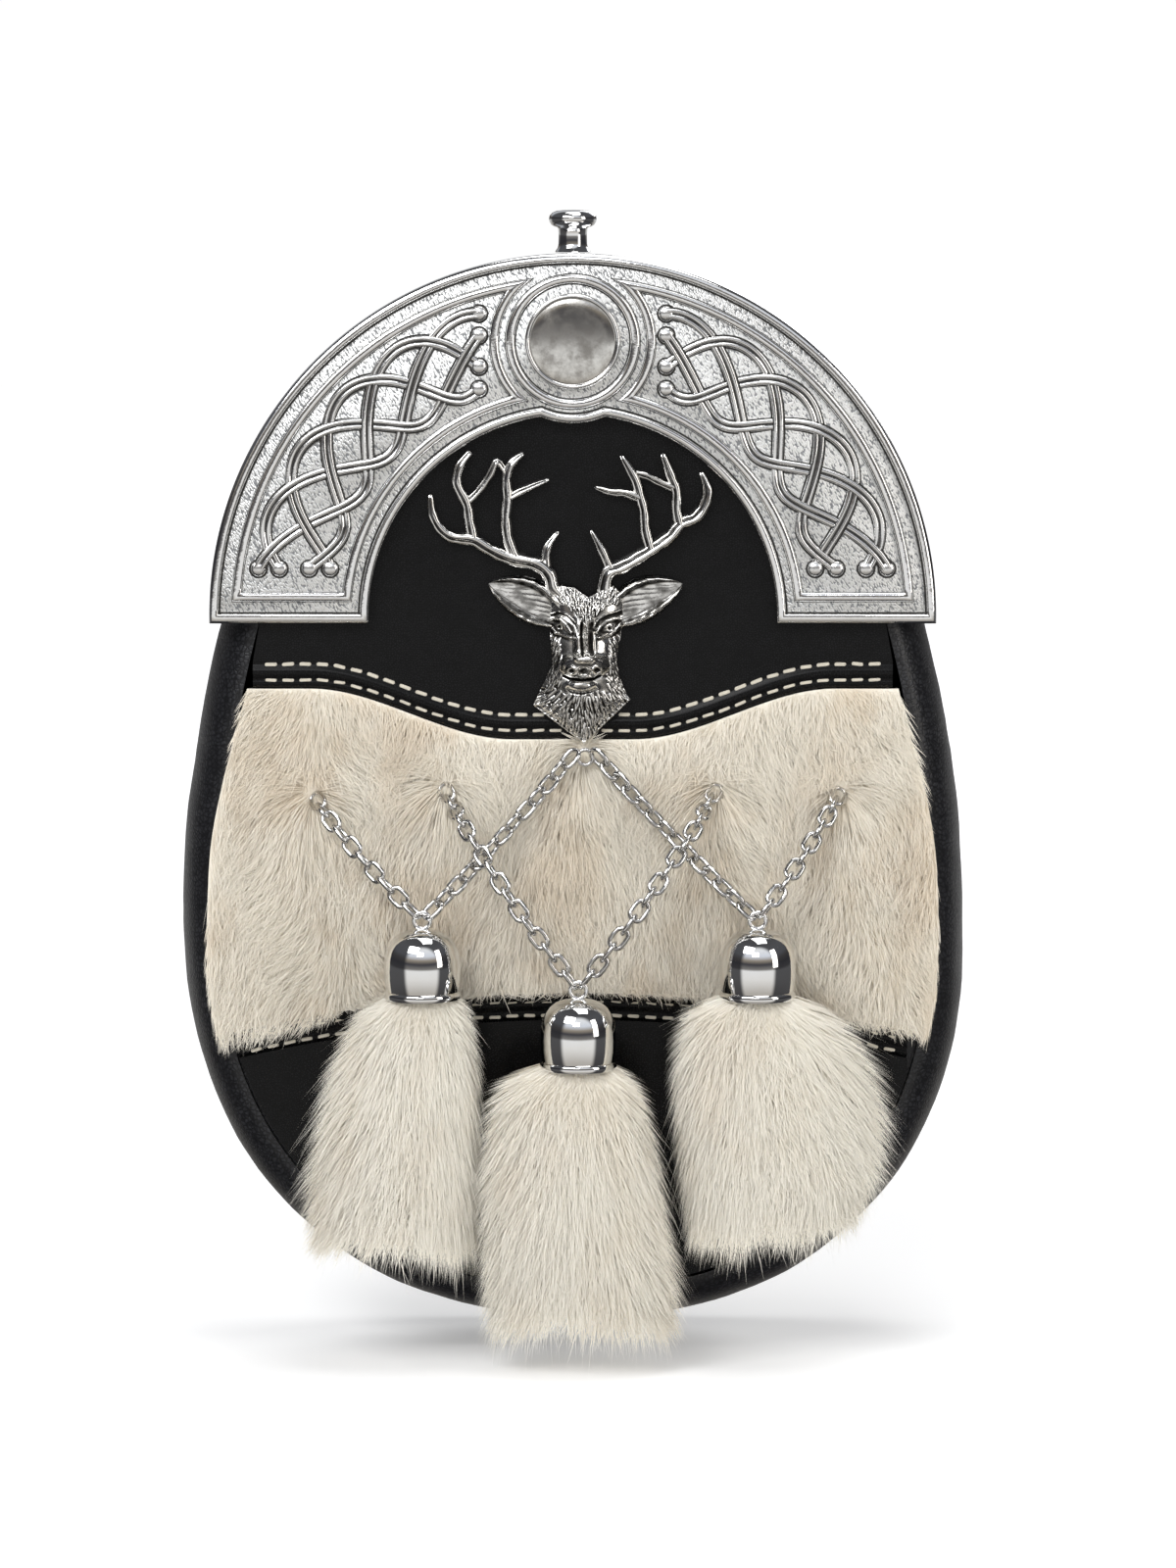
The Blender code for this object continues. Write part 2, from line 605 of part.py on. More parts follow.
def make_belt_loops(collection):
    """Two strap loops on the back that the wearer's belt or chain strap runs through."""
    half = BELT_HEIGHT * 0.5
    foot = half + LOOP_RISE
    for side, name in ((-1, "belt_loop_left"), (1, "belt_loop_right")):
        bend = (CLEAR + BELT_THICK * 0.75, half + LOOP_RISE * 0.3)
        path = [(CLEAR, foot + LOOP_TAB), (CLEAR, foot), bend, (CLEAR + BELT_THICK, half - LOOP_RISE * 0.2)]
        path += [(y, -z) for y, z in reversed(path)]
        bm = bmesh.new()
        rows = []
        for x in (-LOOP_WIDTH * 0.5, LOOP_WIDTH * 0.5):
            rows.append([bm.verts.new((x + side * LOOP_OFFSET, y, z)) for y, z in path])
        for i in range(len(path) - 1):
            bm.faces.new((rows[0][i], rows[0][i + 1], rows[1][i + 1], rows[1][i]))
        made = add_object(name, mesh_from(bm, name), "black_leather", collection)
        wall = made.modifiers.new("leather", "SOLIDIFY")
        wall.thickness = LOOP_WALL
        wall.offset = 1.0 if made.data.polygons[0].normal.y > 0 else -1.0
        wall.use_even_offset = True


def flap_edge(x):
    """Height of the flap welt's lower edge."""
    dip = smooth((DIP_OUTER - abs(x)) / (DIP_OUTER - DIP_INNER))
    return ARCH_Z - FLAP_SIDE_DROP - FLAP_DIP * dip


def lower_edge(x):
    """Height of the lower welt's upper edge."""
    return ARCH_Z - LOWER_MID_DROP - LOWER_FALL * (x / (WIDE_HALF - PANEL_INSET)) ** 2


def seam_x(across, edge):
    """The x of a seam's column, as a share of the pouch's least width along the welt's ends."""
    low = edge(WIDE_HALF - PANEL_INSET)
    return across * min(half_width(low, PANEL_INSET), half_width(low + WELT_WIDTH, PANEL_INSET))


def strip_place(edge):
    """Places a welt on the seam: up -1 is its lower edge and 1 its upper edge."""

    def place(across, up):
        x = seam_x(across, edge)
        return x, edge(x) + WELT_WIDTH * (up + 1.0) * 0.5

    return place


def make_flap(collection):
    """The glazed leather front flap under the cantle and the badge, with its stitched welt."""
    top_radius = TOP_HALF - PANEL_INSET

    def place(across, up):
        low_x = seam_x(across, flap_edge)
        low_z = flap_edge(low_x) + WELT_WIDTH + CLEAR
        angle = math.pi * 0.5 - across * math.radians(86.0)
        top_x = top_radius * math.cos(angle)
        top_z = ARCH_Z + top_radius * math.sin(angle)
        share = (up + 1.0) * 0.5
        return mix(low_x, top_x, share), mix(low_z, top_z, share)

    mesh = slab("front_flap", SEAM_COLUMNS, 3, place,
                lambda x, z, a, u: FACING_FRONT, lambda x, z, a, u: FACING_BACK)
    add_object("front_flap", mesh, "glazed_leather", collection)
    welt = slab("flap_welt", SEAM_COLUMNS, 2, strip_place(flap_edge),
                lambda x, z, a, u: mix(WELT_FRONT, FACING_FRONT, u * u * 0.5),
                lambda x, z, a, u: FACING_BACK)
    add_object("flap_welt", welt, "glazed_leather", collection)


def make_lower_panel(collection):
    """The plain leather below the fur, with a stitched welt along its upper edge."""

    def welt_low(x):
        return lower_edge(x) - WELT_WIDTH

    welt = slab("lower_welt", SEAM_COLUMNS, 2, strip_place(welt_low),
                lambda x, z, a, u: mix(WELT_FRONT, FACING_FRONT, u * u * 0.5) - crown(x, z),
                lambda x, z, a, u: FACING_BACK - crown(x, z))
    add_object("lower_welt", welt, "glazed_leather", collection)

    def top_at(across):
        x = seam_x(across, welt_low)
        return x, welt_low(x) - CLEAR

    mesh = slab("lower_panel", SEAM_COLUMNS, 4, panel_place(bowl_edge(LOWER_CORNER), top_at),
                lambda x, z, a, u: FACING_FRONT - crown(x, z),
                lambda x, z, a, u: FACING_BACK - crown(x, z))
    add_object("lower_panel", mesh, "glazed_leather", collection)


def root_place(name):
    """Where a chain leaves the fur, as (x, z)."""
    x, drop = CHAIN_ROOTS[name]
    return x * WIDE_HALF, ARCH_Z - drop * (WIDE_DROP + BOWL_DEPTH)


def fur_envelope(x, z):
    """The furthest forward that the fur panel's pile stands at a place."""
    top = flap_edge(x)
    low = lower_edge(x)
    share = min(1.0, max(0.0, (top - z) / (top - low)))
    puff = smooth(share / 0.22) * (0.86 + 0.14 * math.cos((share - 0.75) * 2.6))
    side = abs(x) / half_width(z, PANEL_INSET)
    puff *= 1.0 - 0.45 * smooth((side - 0.82) / 0.3)
    depth = FUR_BACKING + PILE * (0.30 + 0.70 * puff)
    for name in CHAIN_ROOTS:
        root_x, root_z = root_place(name)
        away = math.hypot(x - root_x, z - root_z) / DIMPLE_RADIUS
        depth -= DIMPLE * math.exp(-away * away) * puff
    return FACING_BACK - crown(x, z) - depth


def make_fur_panel(collection):
    """Cream rabbit fur on its skin: locks in two tiers, with a hem that hangs over the lower welt."""
    columns, rows = 24, 7

    def place(across, up):
        x = across * (WIDE_HALF - PANEL_INSET)
        share = (up + 1.0) * 0.5
        z = mix(lower_edge(x) + CLEAR, flap_edge(x) - CLEAR, share)
        reach = half_width(z, PANEL_INSET - FUR_OVERHANG * smooth((1.0 - share) * 2.0))
        x = across * reach
        z = mix(lower_edge(x) + CLEAR, flap_edge(x) - CLEAR, share)
        return x, z

    def column_of(across):
        return round((across + 1.0) * 0.5 * columns)

    def front(x, z, across, up):
        groove = LOCK_DEPTH * (column_of(across) % 2)
        return fur_envelope(x, z) + groove * smooth((0.6 - up) / 0.8)

    def back(x, z, across, up):
        spread = smooth((abs(across) - 0.80) / 0.15) * 1.6 * MM
        return FACING_BACK - crown(x, z) - spread

    mesh = slab("fur_panel", columns, rows, place, front, back)
    for vert in mesh.vertices:
        x, y, z = vert.co
        if z > lower_edge(x) + 2.0 * CLEAR:
            continue
        if y > WELT_FRONT - crown(x, z):
            vert.co.z += HEM_TUCK
        else:
            along = round((x / half_width(z, PANEL_INSET) + 1.0) * 0.5 * columns)
            vert.co.z -= HEM_HANG * (0.35 + 0.65 * ((along + 1) % 2)) + CLEAR
    add_object("fur_panel", mesh, "cream_fur", collection)


def cantle_loop(inset):
    """The cantle plate's outline moved in by inset, as a closed ring of (x, z)."""
    outer, inner, boss = CANTLE_RADIUS - inset, INNER_RADIUS + inset, BOSS_RADIUS - inset
    base = -CANTLE_LEG + inset
    points = []
    start = math.asin(base / outer)
    for i in range(ARCH_STEPS + 1):
        angle = mix(start, math.pi - start, i / ARCH_STEPS)
        points.append((outer * math.cos(angle), outer * math.sin(angle)))
    meet = (inner ** 2 - boss ** 2 + BOSS_HEIGHT ** 2) / (2.0 * BOSS_HEIGHT)
    join = math.asin(min(1.0, meet / inner))
    low = math.asin(base / inner)
    left = [mix(math.pi - low, math.pi - join, i / 8) for i in range(9)]
    points += [(inner * math.cos(a), inner * math.sin(a)) for a in left]
    spread = math.atan2(inner * math.cos(join), BOSS_HEIGHT - meet)
    for i in range(1, 6):
        angle = mix(-spread, spread, i / 6)
        points.append((boss * math.sin(angle), BOSS_HEIGHT - boss * math.cos(angle)))
    right = [mix(join, low, i / 8) for i in range(9)]
    points += [(inner * math.cos(a), inner * math.sin(a)) for a in right]
    return [(x, z + ARCH_Z) for x, z in points]


def field_loop(side, grow):
    """The line round one side field, as a closed ring of (x, z); grow moves it outwards."""
    outer = CANTLE_RADIUS - FIELD_OUTER + grow
    inner = INNER_RADIUS + FIELD_INNER - grow
    boss = FIELD_BOSS - grow
    base = -CANTLE_LEG + FIELD_BASE - grow

    def boss_meets(radius):
        along = (radius ** 2 - boss ** 2 + BOSS_HEIGHT ** 2) / (2.0 * BOSS_HEIGHT)
        return math.asin(min(1.0, along / radius))

    points = []
    top, low = boss_meets(outer), math.asin(base / outer)
    points += [(outer * math.cos(a), outer * math.sin(a)) for a in (mix(low, top, i / 10) for i in range(11))]
    ends = []
    for radius in (outer, inner):
        angle = boss_meets(radius)
        ends.append(math.atan2(radius * math.sin(angle) - BOSS_HEIGHT, radius * math.cos(angle)))
    for i in range(1, 5):
        angle = mix(ends[0], ends[1], i / 5)
        points.append((boss * math.cos(angle), BOSS_HEIGHT + boss * math.sin(angle)))
    top, low = boss_meets(inner), math.asin(base / inner)
    points += [(inner * math.cos(a), inner * math.sin(a)) for a in (mix(top, low, i / 6) for i in range(7))]
    return [(side * x, z + ARCH_Z) for x, z in points]


def strand_point(side, strand, share):
    """Middle of a plait strand as (x, z), its sideways direction and its weave, -1 to 1."""
    phase = math.radians(22.5 + 90.0 * (PLAIT_QUARTERS * share + strand))
    radius = PLAIT_RADIUS + PLAIT_REACH * math.cos(phase)
    low = math.asin(PLAIT_START / radius)
    high = math.acos(PLAIT_END / radius)
    angle = mix(low, high, share)
    return Vector((side * radius * math.cos(angle), radius * math.sin(angle) + ARCH_Z)), math.sin(3.0 * phase)


def make_strand(side, strand, tools):
    """One strand of the plait: a low ribbon that dips under and rises over the others."""
    root = PLATE_FRONT + SINK
    rings = []
    for i in range(STRAND_STEPS + 1):
        share = i / STRAND_STEPS
        here, weave = strand_point(side, strand, share)
        before = strand_point(side, strand, max(0.0, share - 0.01))[0]
        after = strand_point(side, strand, min(1.0, share + 0.01))[0]
        along = (after - before).normalized()
        out = Vector((-along.y, along.x)) * STRAND_WIDTH * 0.5
        crest = PLATE_FRONT - STRAND_HEIGHT - STRAND_WEAVE * weave
        rings.append([(here.x + out.x, root, here.y + out.y), (here.x, crest, here.y),
                      (here.x - out.x, root, here.y - out.y)])
    name = f"strand_{strand}_{'left' if side < 0 else 'right'}"
    add_object(name, loft(name, rings), "antiqued_cast", tools)
    for share in (0.0, 1.0):
        place = strand_point(side, strand, share)[0]
        bm = bmesh.new()
        bmesh.ops.create_uvsphere(bm, u_segments=8, v_segments=4, radius=PEARL_RADIUS)
        bmesh.ops.scale(bm, verts=bm.verts, vec=(1.0, PEARL_RISE / PEARL_RADIUS, 1.0))
        bmesh.ops.translate(bm, verts=bm.verts, vec=(place.x, PLATE_FRONT, place.y))
        pearl = f"pearl_{strand}_{int(share)}_{'left' if side < 0 else 'right'}"
        add_object(pearl, mesh_from(bm, pearl), "antiqued_cast", tools)


def make_cantle(collection):
    """The cast cantle: plate and rim, shroud, field lines, boss, disc and plaits in one piece."""
    tools = make_collection("cantle_relief")
    rim = [(0.4 * MM, PLATE_BACK), (0.0, PLATE_BACK - 0.4 * MM), (0.0, RIM_FRONT + 0.4 * MM),
           (0.5 * MM, RIM_FRONT), (RIM_WIDTH - 0.4 * MM, RIM_FRONT), (RIM_WIDTH, PLATE_FRONT)]
    rings = [[(x, y, z) for x, z in cantle_loop(inset)] for inset, y in rim]
    cantle = add_object("cantle", loft("cantle", rings), "antiqued_cast", collection)

    shroud_out = CANTLE_RADIUS - SHROUD_STEP
    shroud_in = shroud_out - SHROUD_WALL
    near, far = PLATE_BACK - SINK, PLATE_BACK + SHROUD_DEPTH
    section = ((shroud_out, near), (shroud_out, far), (shroud_in, far), (shroud_in, near))
    arc = []
    for i in range(ARCH_STEPS + 1):
        angle = math.pi * i / ARCH_STEPS
        arc.append([(r * math.cos(angle), y, r * math.sin(angle) + ARCH_Z) for r, y in section])
    add_object("shroud", loft("shroud", arc), "antiqued_cast", tools)

    half = LINE_WIDTH * 0.5
    line = [(-half, PLATE_FRONT + SINK), (-half * 0.5, PLATE_FRONT - LINE_HEIGHT),
            (half * 0.5, PLATE_FRONT - LINE_HEIGHT), (half, PLATE_FRONT + SINK)]
    for side, name in ((-1, "line_left"), (1, "line_right")):
        rings = [[(x, y, z) for x, z in field_loop(side, grow)] for grow, y in line]
        add_object(name, loft(name, rings, ends="joined"), "antiqued_cast", tools)
        for strand in range(4):
            make_strand(side, strand, tools)

    boss = (0.0, PLATE_FRONT + SINK, ARCH_Z + BOSS_HEIGHT)
    rise = SINK + LINE_HEIGHT
    ring = [(RING_RADIUS - RING_WIRE, 0.0), (RING_RADIUS - RING_WIRE * 0.5, rise),
            (RING_RADIUS + RING_WIRE * 0.5, rise), (RING_RADIUS + RING_WIRE, 0.0)]
    steps = 24
    rings = []
    for radius, height in ring:
        rings.append([(radius * math.cos(2.0 * math.pi * i / steps), boss[1] - height,
                       boss[2] + radius * math.sin(2.0 * math.pi * i / steps)) for i in range(steps)])
    add_object("boss_ring", loft("boss_ring", rings, ends="joined"), "antiqued_cast", tools)
    rings = []
    for radius, height in ((DISC_RADIUS, 0.0), (DISC_RADIUS - 0.4 * MM, SINK + DISC_HEIGHT)):
        rings.append([(radius * math.cos(2.0 * math.pi * i / steps), boss[1] - height,
                       boss[2] + radius * math.sin(2.0 * math.pi * i / steps)) for i in range(steps)])
    add_object("boss_disc", loft("boss_disc", rings), "antiqued_cast", tools)
    union_all(cantle, tools)


def make_knob(collection):
    """The turned knob that stands on the top of the cantle's shroud."""
    low = KNOB_HEIGHT - KNOB_CAP
    profile = [(0.0, KNOB_HEIGHT), (KNOB_HEAD * 0.72, KNOB_HEIGHT - 0.25 * MM),
               (KNOB_HEAD, KNOB_HEIGHT - KNOB_CAP * 0.42), (KNOB_HEAD * 0.94, low + 0.3 * MM),
               (KNOB_STEM, low), (KNOB_STEM, 1.0 * MM), (KNOB_FOOT, 0.2 * MM), (KNOB_FOOT, 0.0), (0.0, 0.0)]
    seat = (0.0, PLATE_BACK + SHROUD_DEPTH * 0.5, ARCH_Z + CANTLE_RADIUS - SHROUD_STEP + CLEAR)
    turned("knob", profile, 16, seat, collection, "chromed_cast")


def badge_point(x_share, z_share, y):
    """A point of the antlers."""
    return Vector((BADGE_SHIFT + x_share * ANTLER_REACH, y, ARCH_Z + ANTLER_BASE + z_share * ANTLER_HEIGHT))


def head_height(drop):
    """Height of a place on the head, by its share of the head's height."""
    return ARCH_Z + HEAD_TOP - drop * HEAD_HEIGHT


def make_badge(collection):
    """The cast stag's head: head and ruff, muzzle and brows, ears and antlers in one piece."""
    tools = make_collection("badge_masses")
    rings = []
    for row in HEAD_SECTIONS:
        half, deep = row["half"] * HEAD_HALF, row["relief"] * HEAD_RELIEF
        angles = [math.pi * i / 8 for i in range(9)]
        rings.append([(BADGE_SHIFT + half * math.cos(a), BADGE_BACK - deep * (0.25 + 0.75 * math.sin(a)),
                       head_height(row["drop"])) for a in angles]
                     + [(BADGE_SHIFT - half, BADGE_BACK, head_height(row["drop"])),
                        (BADGE_SHIFT + half, BADGE_BACK, head_height(row["drop"]))])
    badge = add_object("stag_badge", loft("stag_badge", rings), "antiqued_cast", collection)

    for name, row in HEAD_MASSES.items():
        bm = bmesh.new()
        bmesh.ops.create_uvsphere(bm, u_segments=8, v_segments=6, radius=1.0)
        deep = row["relief"] * HEAD_RELIEF * 0.5
        size = (row["half"] * HEAD_HALF, deep, row["tall"] * HEAD_HEIGHT)
        x = BADGE_SHIFT + row["side"] * HEAD_HALF
        place = (x, BADGE_BACK - deep - 0.05 * MM, head_height(row["drop"]))
        bmesh.ops.scale(bm, verts=bm.verts, vec=size)
        bmesh.ops.translate(bm, verts=bm.verts, vec=place)
        add_object(name, mesh_from(bm, name), "antiqued_cast", tools)

    for side, name in ((-1, "ear_left"), (1, "ear_right")):
        root = Vector((BADGE_SHIFT + side * HEAD_HALF * 0.62, head_height(0.235)))
        along = Vector((side * math.cos(math.radians(24.0)), math.sin(math.radians(24.0))))
        across = Vector((-along.y, along.x))
        rings = []
        for row in EAR_SECTIONS:
            middle = root + along * row["along"] * EAR_LENGTH
            half = row["half"] * EAR_HALF
            y = BADGE_BACK - 0.1 * MM
            corners = ((-1.0, 0.0), (-0.8, EAR_WALL), (0.0, EAR_WALL * 0.7), (0.8, EAR_WALL), (1.0, 0.0))
            rings.append([(middle.x + across.x * half * c, y - rise, middle.y + across.y * half * c)
                          for c, rise in corners])
        add_object(name, loft(name, rings), "antiqued_cast", tools)

    for order, (name, knots) in enumerate(ANTLER_TINES.items()):
        y = BADGE_BACK - ANTLER_WIRE * (1.15 + 0.04 * order)
        points = [badge_point(x, z, y) for x, z, _ in knots]
        radii = [share * ANTLER_WIRE for _, _, share in knots]
        as_mesh(tube("tine_" + name, points, radii, 6, tools, "antiqued_cast"), tools)
    union_all(badge, tools)


def cap_place(name):
    """Middle of a tassel cap's open end."""
    row = TASSELS[name]
    x = row["x"] * WIDE_HALF
    z = ARCH_Z - row["top"] * (WIDE_DROP + BOWL_DEPTH) - CAP_HEIGHT
    y = FUR_FRONT - CROWN - CLEAR - CAP_RADIUS - CROSSING_LIFT * row["on_top"]
    return Vector((x, y, z))


def make_cap(name, collection):
    """A plated bell cap with an eye on its crown."""
    place = cap_place(name)
    outer = [(0.0, 1.0), (0.40, 0.975), (0.70, 0.88), (0.90, 0.70), (0.985, 0.45), (1.0, 0.0)]
    profile = [(r * CAP_RADIUS, h * CAP_HEIGHT) for r, h in outer]
    profile += [(CAP_RADIUS - CAP_WALL, 0.0), (CAP_RADIUS - CAP_WALL * 1.1, CAP_HEIGHT * 0.45),
                (CAP_RADIUS * 0.6, CAP_HEIGHT * 0.80), (0.0, CAP_HEIGHT - CAP_WALL * 1.5)]
    cap = turned(f"tassel_cap_{name}", profile, 12, place, collection, "chromed_cast")
    tools = make_collection(f"cap_eye_{name}")
    middle = place + Vector((0.0, 0.0, CAP_HEIGHT + EYE_RADIUS))
    bpy.ops.mesh.primitive_torus_add(major_radius=EYE_RADIUS, minor_radius=EYE_WIRE,
                                     major_segments=10, minor_segments=5, location=middle,
                                     rotation=(math.radians(90.0), 0.0, 0.0))
    eye = bpy.context.active_object
    eye.name = f"eye_{name}"
    for holder in list(eye.users_collection):
        holder.objects.unlink(eye)
    tools.objects.link(eye)
    union_all(cap, tools)


def make_tassel(name, collection):
    """Rabbit fur bound at its head inside the cap and falling in locks to a ragged hem."""
    row = TASSELS[name]
    place = cap_place(name)
    count = TASSEL_LOCKS * 2
    length = TASSEL_LENGTH * row["hem"]
    neck = CAP_RADIUS - CAP_WALL * 1.1 - CLEAR
    rings = []
    for radius, height in ((neck * 0.55, NECK_DEPTH), (neck, NECK_DEPTH * 0.6), (neck, -CLEAR)):
        rings.append([(place.x + radius * math.cos(2.0 * math.pi * i / count),
                       place.y + radius * math.sin(2.0 * math.pi * i / count),
                       place.z + height) for i in range(count)])
    last = []
    for drop, left, right, thick in row["spread"]:
        ring = []
        for i in range(count):
            angle = 2.0 * math.pi * i / count
            groove = 1.0 - 0.07 * (i % 2) * smooth(drop / 0.3)
            reach = (right if math.cos(angle) > 0.0 else left) * TASSEL_HALF
            ring.append((place.x + reach * math.cos(angle) * groove,
                         place.y + thick * TASSEL_THICK * math.sin(angle) * groove,
                         place.z - drop * length))
        rings.append(ring)
        last = ring
    hem = []
    for i, (x, y, _) in enumerate(last):
        tip = LOCK_TIP * (1.0 + 0.5 * math.sin(i * 2.7)) if i % 2 == 0 else 0.0
        hem.append((mix(place.x, x, 0.97), mix(place.y, y, 0.97), place.z - length - tip))
    rings.append(hem)
    inner = place.z - length * 0.95
    rings.append([(mix(place.x, x, 0.55), mix(place.y, y, 0.55), inner) for x, y, _ in last])
    add_object(f"tassel_{name}", loft(f"tassel_{name}", rings), "white_fur", collection)


def drape(x, z):
    """The middle of a chain that lies on the fur above and swings out to the caps below."""
    start = root_place("outer_left")[1]
    hooked = cap_place("left")
    share = smooth((start - z) / (start - hooked.z - CAP_HEIGHT))
    rest = fur_envelope(x, z) - CHAIN_WIDTH * 0.5 - CLEAR
    return mix(rest, hooked.y, share)


def make_chain(name, collection):
    """One strand of cable chain, from the fur to the eye of its cap, as a round bar of its width."""
    root, tassel, side, on_top = CHAINS[name]
    radius = CHAIN_WIDTH * 0.5
    start = Vector(root_place(root))
    if root == "centre":
        start.x -= side * (radius + CLEAR)
    cap = cap_place(tassel)
    eye = Vector((cap.x, cap.z + CAP_HEIGHT + EYE_RADIUS))
    end = eye + (start - eye).normalized() * (EYE_RADIUS + EYE_WIRE + CLEAR)
    points = []
    for i in range(CHAIN_STEPS + 1):
        share = i / CHAIN_STEPS
        x, z = start.lerp(end, share)
        lift = CROSSING_LIFT * on_top * smooth(share / 0.22)
        points.append((x, drape(x, z) - lift, z))
    tube(name, points, [radius] * len(points), 6, collection, "chromed_cast")


def main():
    clear_scene()
    sporran = make_collection("dress_sporran")
    make_gusset(sporran)
    make_front_panel(sporran)
    make_back_panel(sporran)
    make_back_flap(sporran)
    make_belt_loops(sporran)
    make_flap(sporran)
    make_lower_panel(sporran)
    make_fur_panel(sporran)
    make_cantle(sporran)
    make_knob(sporran)
    make_badge(sporran)
    for name in TASSELS:
        make_cap(name, sporran)
        make_tassel(name, sporran)
    for name in CHAINS:
        make_chain(name, sporran)


main()
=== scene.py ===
# %% [markdown]
# # Full dress sporran
# A sporran is the pouch that hangs in front of a kilt. This one has a black leather body, a cast
# metal arch called the cantle on top, a stag's head badge, a panel of cream fur and three fur
# tassels on chains. The CAD part gives every solid and its place. This script makes the finer
# shapes and the finishes round it, one piece after another.

import json
from math import acos, asin, atan2, copysign, cos, degrees, dist, exp, hypot, pi, radians, sin, sqrt, tau

import bmesh
import bpy
import numpy as np
from mathutils import Matrix, Vector, noise

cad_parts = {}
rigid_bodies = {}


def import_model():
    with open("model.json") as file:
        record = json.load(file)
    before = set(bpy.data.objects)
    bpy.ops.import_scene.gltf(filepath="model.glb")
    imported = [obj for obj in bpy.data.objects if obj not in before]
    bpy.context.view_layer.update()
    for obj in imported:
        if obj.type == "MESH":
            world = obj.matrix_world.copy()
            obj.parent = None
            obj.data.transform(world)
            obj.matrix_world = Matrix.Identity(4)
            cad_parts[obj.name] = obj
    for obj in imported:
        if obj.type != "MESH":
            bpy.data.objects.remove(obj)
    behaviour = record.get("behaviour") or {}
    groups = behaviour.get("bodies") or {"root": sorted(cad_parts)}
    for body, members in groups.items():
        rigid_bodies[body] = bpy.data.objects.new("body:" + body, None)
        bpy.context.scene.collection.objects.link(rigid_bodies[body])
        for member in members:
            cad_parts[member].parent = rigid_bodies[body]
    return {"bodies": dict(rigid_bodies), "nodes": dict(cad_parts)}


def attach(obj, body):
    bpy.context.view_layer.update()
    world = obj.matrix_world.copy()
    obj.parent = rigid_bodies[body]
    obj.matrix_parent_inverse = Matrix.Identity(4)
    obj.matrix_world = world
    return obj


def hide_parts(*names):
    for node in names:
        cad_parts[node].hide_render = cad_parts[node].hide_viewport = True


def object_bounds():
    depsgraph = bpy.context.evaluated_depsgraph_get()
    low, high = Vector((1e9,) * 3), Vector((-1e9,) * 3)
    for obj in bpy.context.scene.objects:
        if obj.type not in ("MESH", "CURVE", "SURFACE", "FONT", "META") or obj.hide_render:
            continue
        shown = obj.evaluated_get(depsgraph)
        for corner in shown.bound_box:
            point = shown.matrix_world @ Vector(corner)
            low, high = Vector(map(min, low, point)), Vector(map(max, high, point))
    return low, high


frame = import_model()
kept = set(frame["nodes"].values()) | set(frame["bodies"].values())
for other in [o for o in bpy.data.objects if o not in kept]:
    bpy.data.objects.remove(other, do_unlink=True)
scene = bpy.context.scene
CAD_BOX = [list(corner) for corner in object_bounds()]
print("CAD nodes:", len(frame["nodes"]), "size in mm:", [round(1000 * (b - a), 1) for a, b in zip(*CAD_BOX)])

# %% [markdown]
# ## Sizes
# These are the CAD part's own lengths. The finer pieces are built on the same lines, so each of
# them lands where its solid is. Heights are measured from the middle of the cantle's arch, and
# the front of the pouch faces along -Y.

# %% Sizes
MM = 0.001
ARCH_Z, TOP_HALF, WIDE_HALF = -34 * MM, 74.6 * MM, 83.9 * MM
WIDE_DROP, BOWL_DEPTH, BOWL_POWER, SAG_LEAN = 67.8 * MM, 84.4 * MM, 2.2, 2 * MM
POUCH_DEPTH, ROLL_WIDTH, GUSSET_WALL, PANEL_WALL = 34.5 * MM, 9 * MM, 1.8 * MM, 2 * MM
FACING_WALL, WELT_WIDTH, CLEAR = 1.8 * MM, 5.4 * MM, 0.3 * MM
CROWN, CROWN_DROP, CROWN_RUN = 3.5 * MM, 30 * MM, 55 * MM
FLAP_SIDE_DROP, FLAP_DIP, DIP_INNER, DIP_OUTER = 14.6 * MM, 10.7 * MM, 13 * MM, 55 * MM
LOWER_MID_DROP, LOWER_FALL = 79 * MM, 9.5 * MM
CANTLE_RADIUS, CANTLE_LEG, INNER_RADIUS = 76.2 * MM, 1 * MM, 42.6 * MM
BOSS_HEIGHT, BOSS_RADIUS = 57.9 * MM, 17.2 * MM
SHROUD_DEPTH, SHROUD_STEP = 20 * MM, 0.15 * MM
PLAIT_RADIUS, PLAIT_REACH, PLAIT_START, PLAIT_END = 59.2 * MM, 8 * MM, 10.5 * MM, 19.5 * MM
CAP_HEIGHT, EYE_RADIUS = 14.6 * MM, 1.7 * MM
TASSEL_LENGTH, TASSEL_HALF, TASSEL_THICK = 56 * MM, 20 * MM, 9.5 * MM
WIDE_Z = ARCH_Z - WIDE_DROP
BOTTOM_Z = WIDE_Z - BOWL_DEPTH
PANEL_INSET = ROLL_WIDTH + 2.5 * CLEAR
PANEL_FRONT = -33.2 * MM
FACING_BACK = PANEL_FRONT - CLEAR
FACING_FRONT = FACING_BACK - FACING_WALL
PLATE_BACK, PLATE_FRONT = -35.6 * MM, -37.4 * MM
BADGE_X, BADGE_BACK = 2.4 * MM, -36.1 * MM


def clamp(value):
    """The value held between 0 and 1."""
    return min(1.0, max(0.0, value))


def smooth(share):
    """Eases from 0 to 1."""
    share = clamp(share)
    return share * share * (3.0 - 2.0 * share)


def mix(start, end, share):
    """The value at a share of the way from start to end."""
    return start + (end - start) * share


def lean(z):
    """How far the pouch's middle line has sagged to the right at height z."""
    return SAG_LEAN * clamp((WIDE_Z - z) / BOWL_DEPTH)


